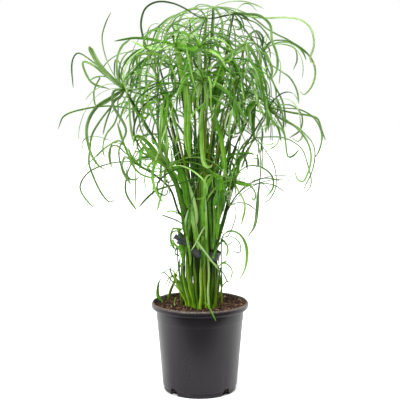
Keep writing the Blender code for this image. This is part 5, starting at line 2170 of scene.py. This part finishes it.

# Strips inside the bundle with the darkest tones: they paint the shade between the culms.
INNER_SHADE_BLADES = (
    (8.0, 16, 0.06, ((194, 246), (190, 225), (185, 200), (179, 170), (172, 140))),
    (8.0, 10, 0.12, ((197, 246), (194, 222), (191, 196), (187, 165), (184, 130))),
    (9.0, 20, 0.0, ((200, 246), (199, 220), (198, 190), (196, 160), (195, 125))),
    (8.0, 12, 0.1, ((204, 246), (205, 220), (206, 190), (207, 160), (208, 128))),
    (9.0, 18, 0.0, ((208, 248), (211, 222), (214, 192), (217, 162), (219, 130))),
    (8.0, 14, 0.1, ((212, 248), (217, 224), (222, 196), (227, 168), (231, 140))),
    (7.0, 22, 0.05, ((215, 249), (222, 226), (229, 200), (236, 174), (243, 150))),
    (6.5, 8, 0.15, ((191, 245), (186, 225), (181, 205), (176, 186), (168, 165))),
    (7.0, 24, 0.05, ((202, 246), (202, 215), (201, 180), (202, 140), (204, 70))),
    (8.0, 26, 0.0, ((206, 246), (208, 215), (211, 180), (213, 140), (214, 70))),
    (7.0, 24, 0.1, ((198, 246), (196, 215), (193, 180), (190, 140), (188, 95))),
    (6.0, 18, 0.3, ((196, 246), (188, 215), (178, 186), (168, 160), (160, 140), (156, 120))),
    (6.0, 28, 0.2, ((210, 247), (220, 215), (230, 186), (240, 160), (248, 138))),
)

BAND_BLADES = (
    (4.6, -41, 0.30, ((180, 244), (182, 250), (183, 257), (184, 266))),
    (4.4, -42, 0.55, ((187, 236), (188.5, 246), (190, 256), (190.5, 266))),
    (4.2, -42, 0.12, ((202, 240), (202.5, 250), (202, 260), (201, 270))),
    (5.0, -38, 0.35, ((186, 226), (187, 236), (186, 246), (184, 257))),
    (5.0, -40, 0.20, ((179, 228), (180, 238), (183, 248), (185, 260))),
    (4.0, -41, 0.50, ((203, 236), (203, 246), (204, 256), (205, 266))),
    (4.0, -42, 0.16, ((213, 258), (216, 250), (220, 243), (225, 240))),
    (2.6, -37, 0.10, (
        (190, 243), (184, 236), (178, 231), (172.5, 232), (170.5, 238), (171.5, 245), (175, 249),
        (179, 250),
    )),
    (2.2, -38, 0.55, ((182, 230), (176, 228), (171.5, 231), (170.5, 239), (173, 246), (172, 251))),
    (3.2, -38, 0.75, ((172, 240), (174, 243.5), (177, 247), (181, 248))),
    (2.6, -39, 0.62, ((170, 246), (174, 244), (178, 247), (180, 252), (182, 258), (184, 264))),
    (3.4, -38, 0.12, ((183, 251), (186, 244), (189, 238), (190, 231), (190.5, 224))),
    (2.2, -44, 0.95, ((204.5, 227), (200, 235), (196, 243), (191, 251))),
    (9.5, -42, 0.68, ((190.5, 206), (192, 215), (194, 224), (196, 234), (197.5, 243), (198.5, 250))),
    (6.5, -41, 0.42, (
        (202.5, 180), (204, 195), (205, 210), (206, 225), (206.5, 240), (207, 252), (207.5, 262),
    )),
    (3.0, -45, 0.9, ((197, 241), (202, 248), (208, 256), (214, 264), (219.5, 270.5))),
    (4.2, -40, 0.5, ((214, 205), (214.5, 220), (214, 235), (213, 250))),
    (4.6, -39, 0.22, ((209, 200), (210, 215), (211, 230), (211.5, 243), (211, 249))),
    (3.8, -40, 0.2, ((200, 205), (201, 218), (201.5, 232), (202, 245), (202.5, 256))),
)

TIE_KNOT = (
    (8.5, -40.5, 0.03, ((174.5, 236), (179, 238.5), (185, 241), (191, 244.5))),
    (6.0, -41.5, 0.10, ((177, 242), (182, 243), (187, 244), (192, 243))),
    (5.4, -41, 0.0, ((179, 234), (184, 238), (188, 243), (192, 247))),
)

def shoot_for(name: str) -> Shoot:
    """How a shoot's node is dressed.

    Args:
        name: the node's name.

    Returns:
        The shoot.
    """
    light = Light.SHADED if name in SHADED_SHOOTS else Light.BRIGHT if name in BRIGHT_SHOOTS else Light.FULL
    light = Light.AIRY if name in OUTER_SHOOTS else light
    growth = Growth()
    if name in BARE_SHOOTS:
        growth = Growth(count=0)
    elif name in TOP_SHOOTS:
        growth = Growth(count=3, weights=(0.8, 0.0, 0.2), shift=-0.1, width=(1.4 * MM, 3.0 * MM))
    elif name in OUTER_SHOOTS:
        growth = Growth(
            count=9, weights=(0.65, 0.05, 0.3), outline=MARGIN, shift=-0.05, width=(1.8 * MM, 3.4 * MM)
        )
    shoot = Shoot(name, light, growth, TRACED.get(name, ()), MARKED.get(name, ()))
    if name in OUTER_SHOOTS:
        shoot.slim = 0.7
    if name == "shoot_front_low":
        shoot.light, shoot.growth = Light.SHADED, Growth(count=5, weights=(0.2, 0.6, 0.2))
    if name in SLIM_CULMS:
        shoot.culm_size, shoot.culm_tone = 0.5, 0.5
    if name == "shoot_young_left":
        shoot.culm_tone = 0.35
    return shoot


def main() -> None:
    """Load the solids, dress every one, and set the studio up round them."""
    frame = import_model()
    leaf, skin = LeafFinish().material(), CulmFinish().material()
    young = LeafFinish(
        "young_leaf", middle=(0.064, 0.195, 0.0005), fresh=(0.165, 0.345, 0.007), light=LeafFinish.lime,
    ).material()
    airy = LeafFinish(
        "airy_leaf", deep=(0.034, 0.084, 0.012), middle=(0.092, 0.222, 0.032), fresh=(0.185, 0.370, 0.072),
        light=(0.40, 0.60, 0.23), lime=(0.30, 0.50, 0.07),
    ).material()
    peat, plastic, strap = PeatFinish().material(), PlasticFinish().material(), BandFinish().material()

    pot = NurseryPot()
    pot.build(plastic)
    ball = RootBall(pot)
    ball.build_plug(peat)
    ball.build_crumbs(peat)
    ball.build_fibres(peat)
    TieBand().build(strap)
    nodes = frame["nodes"]
    for name in sorted(nodes):
        if name.startswith("shoot_"):
            outer = name in OUTER_SHOOTS or name in TOP_SHOOTS
            shoot_for(name).build(nodes[name], airy if outer else leaf, skin)
    Strands("base_blades", True, BASE_BLADES).build(young)
    Strands("inner_shade_blades", False, INNER_SHADE_BLADES).build(leaf)
    Strands("band_blades", False, BAND_BLADES).build(leaf)
    Strands("tie_knot", False, TIE_KNOT, "tie_rubber").build(strap)
    LooseBlade("leaf_over_rim", 0.4, BLUNT, 0.75).build(nodes["leaf_over_rim"], leaf)
    LooseBlade("sprout_at_rim", 0.28, POINTED, 2.0).build(nodes["sprout_at_rim"], leaf)

    Studio().build(FloorFinish().material())
    bpy.context.scene.camera = VIEW.camera()


if __name__ == "__main__":
    logging.basicConfig(level=logging.INFO, format="%(message)s")
    main()
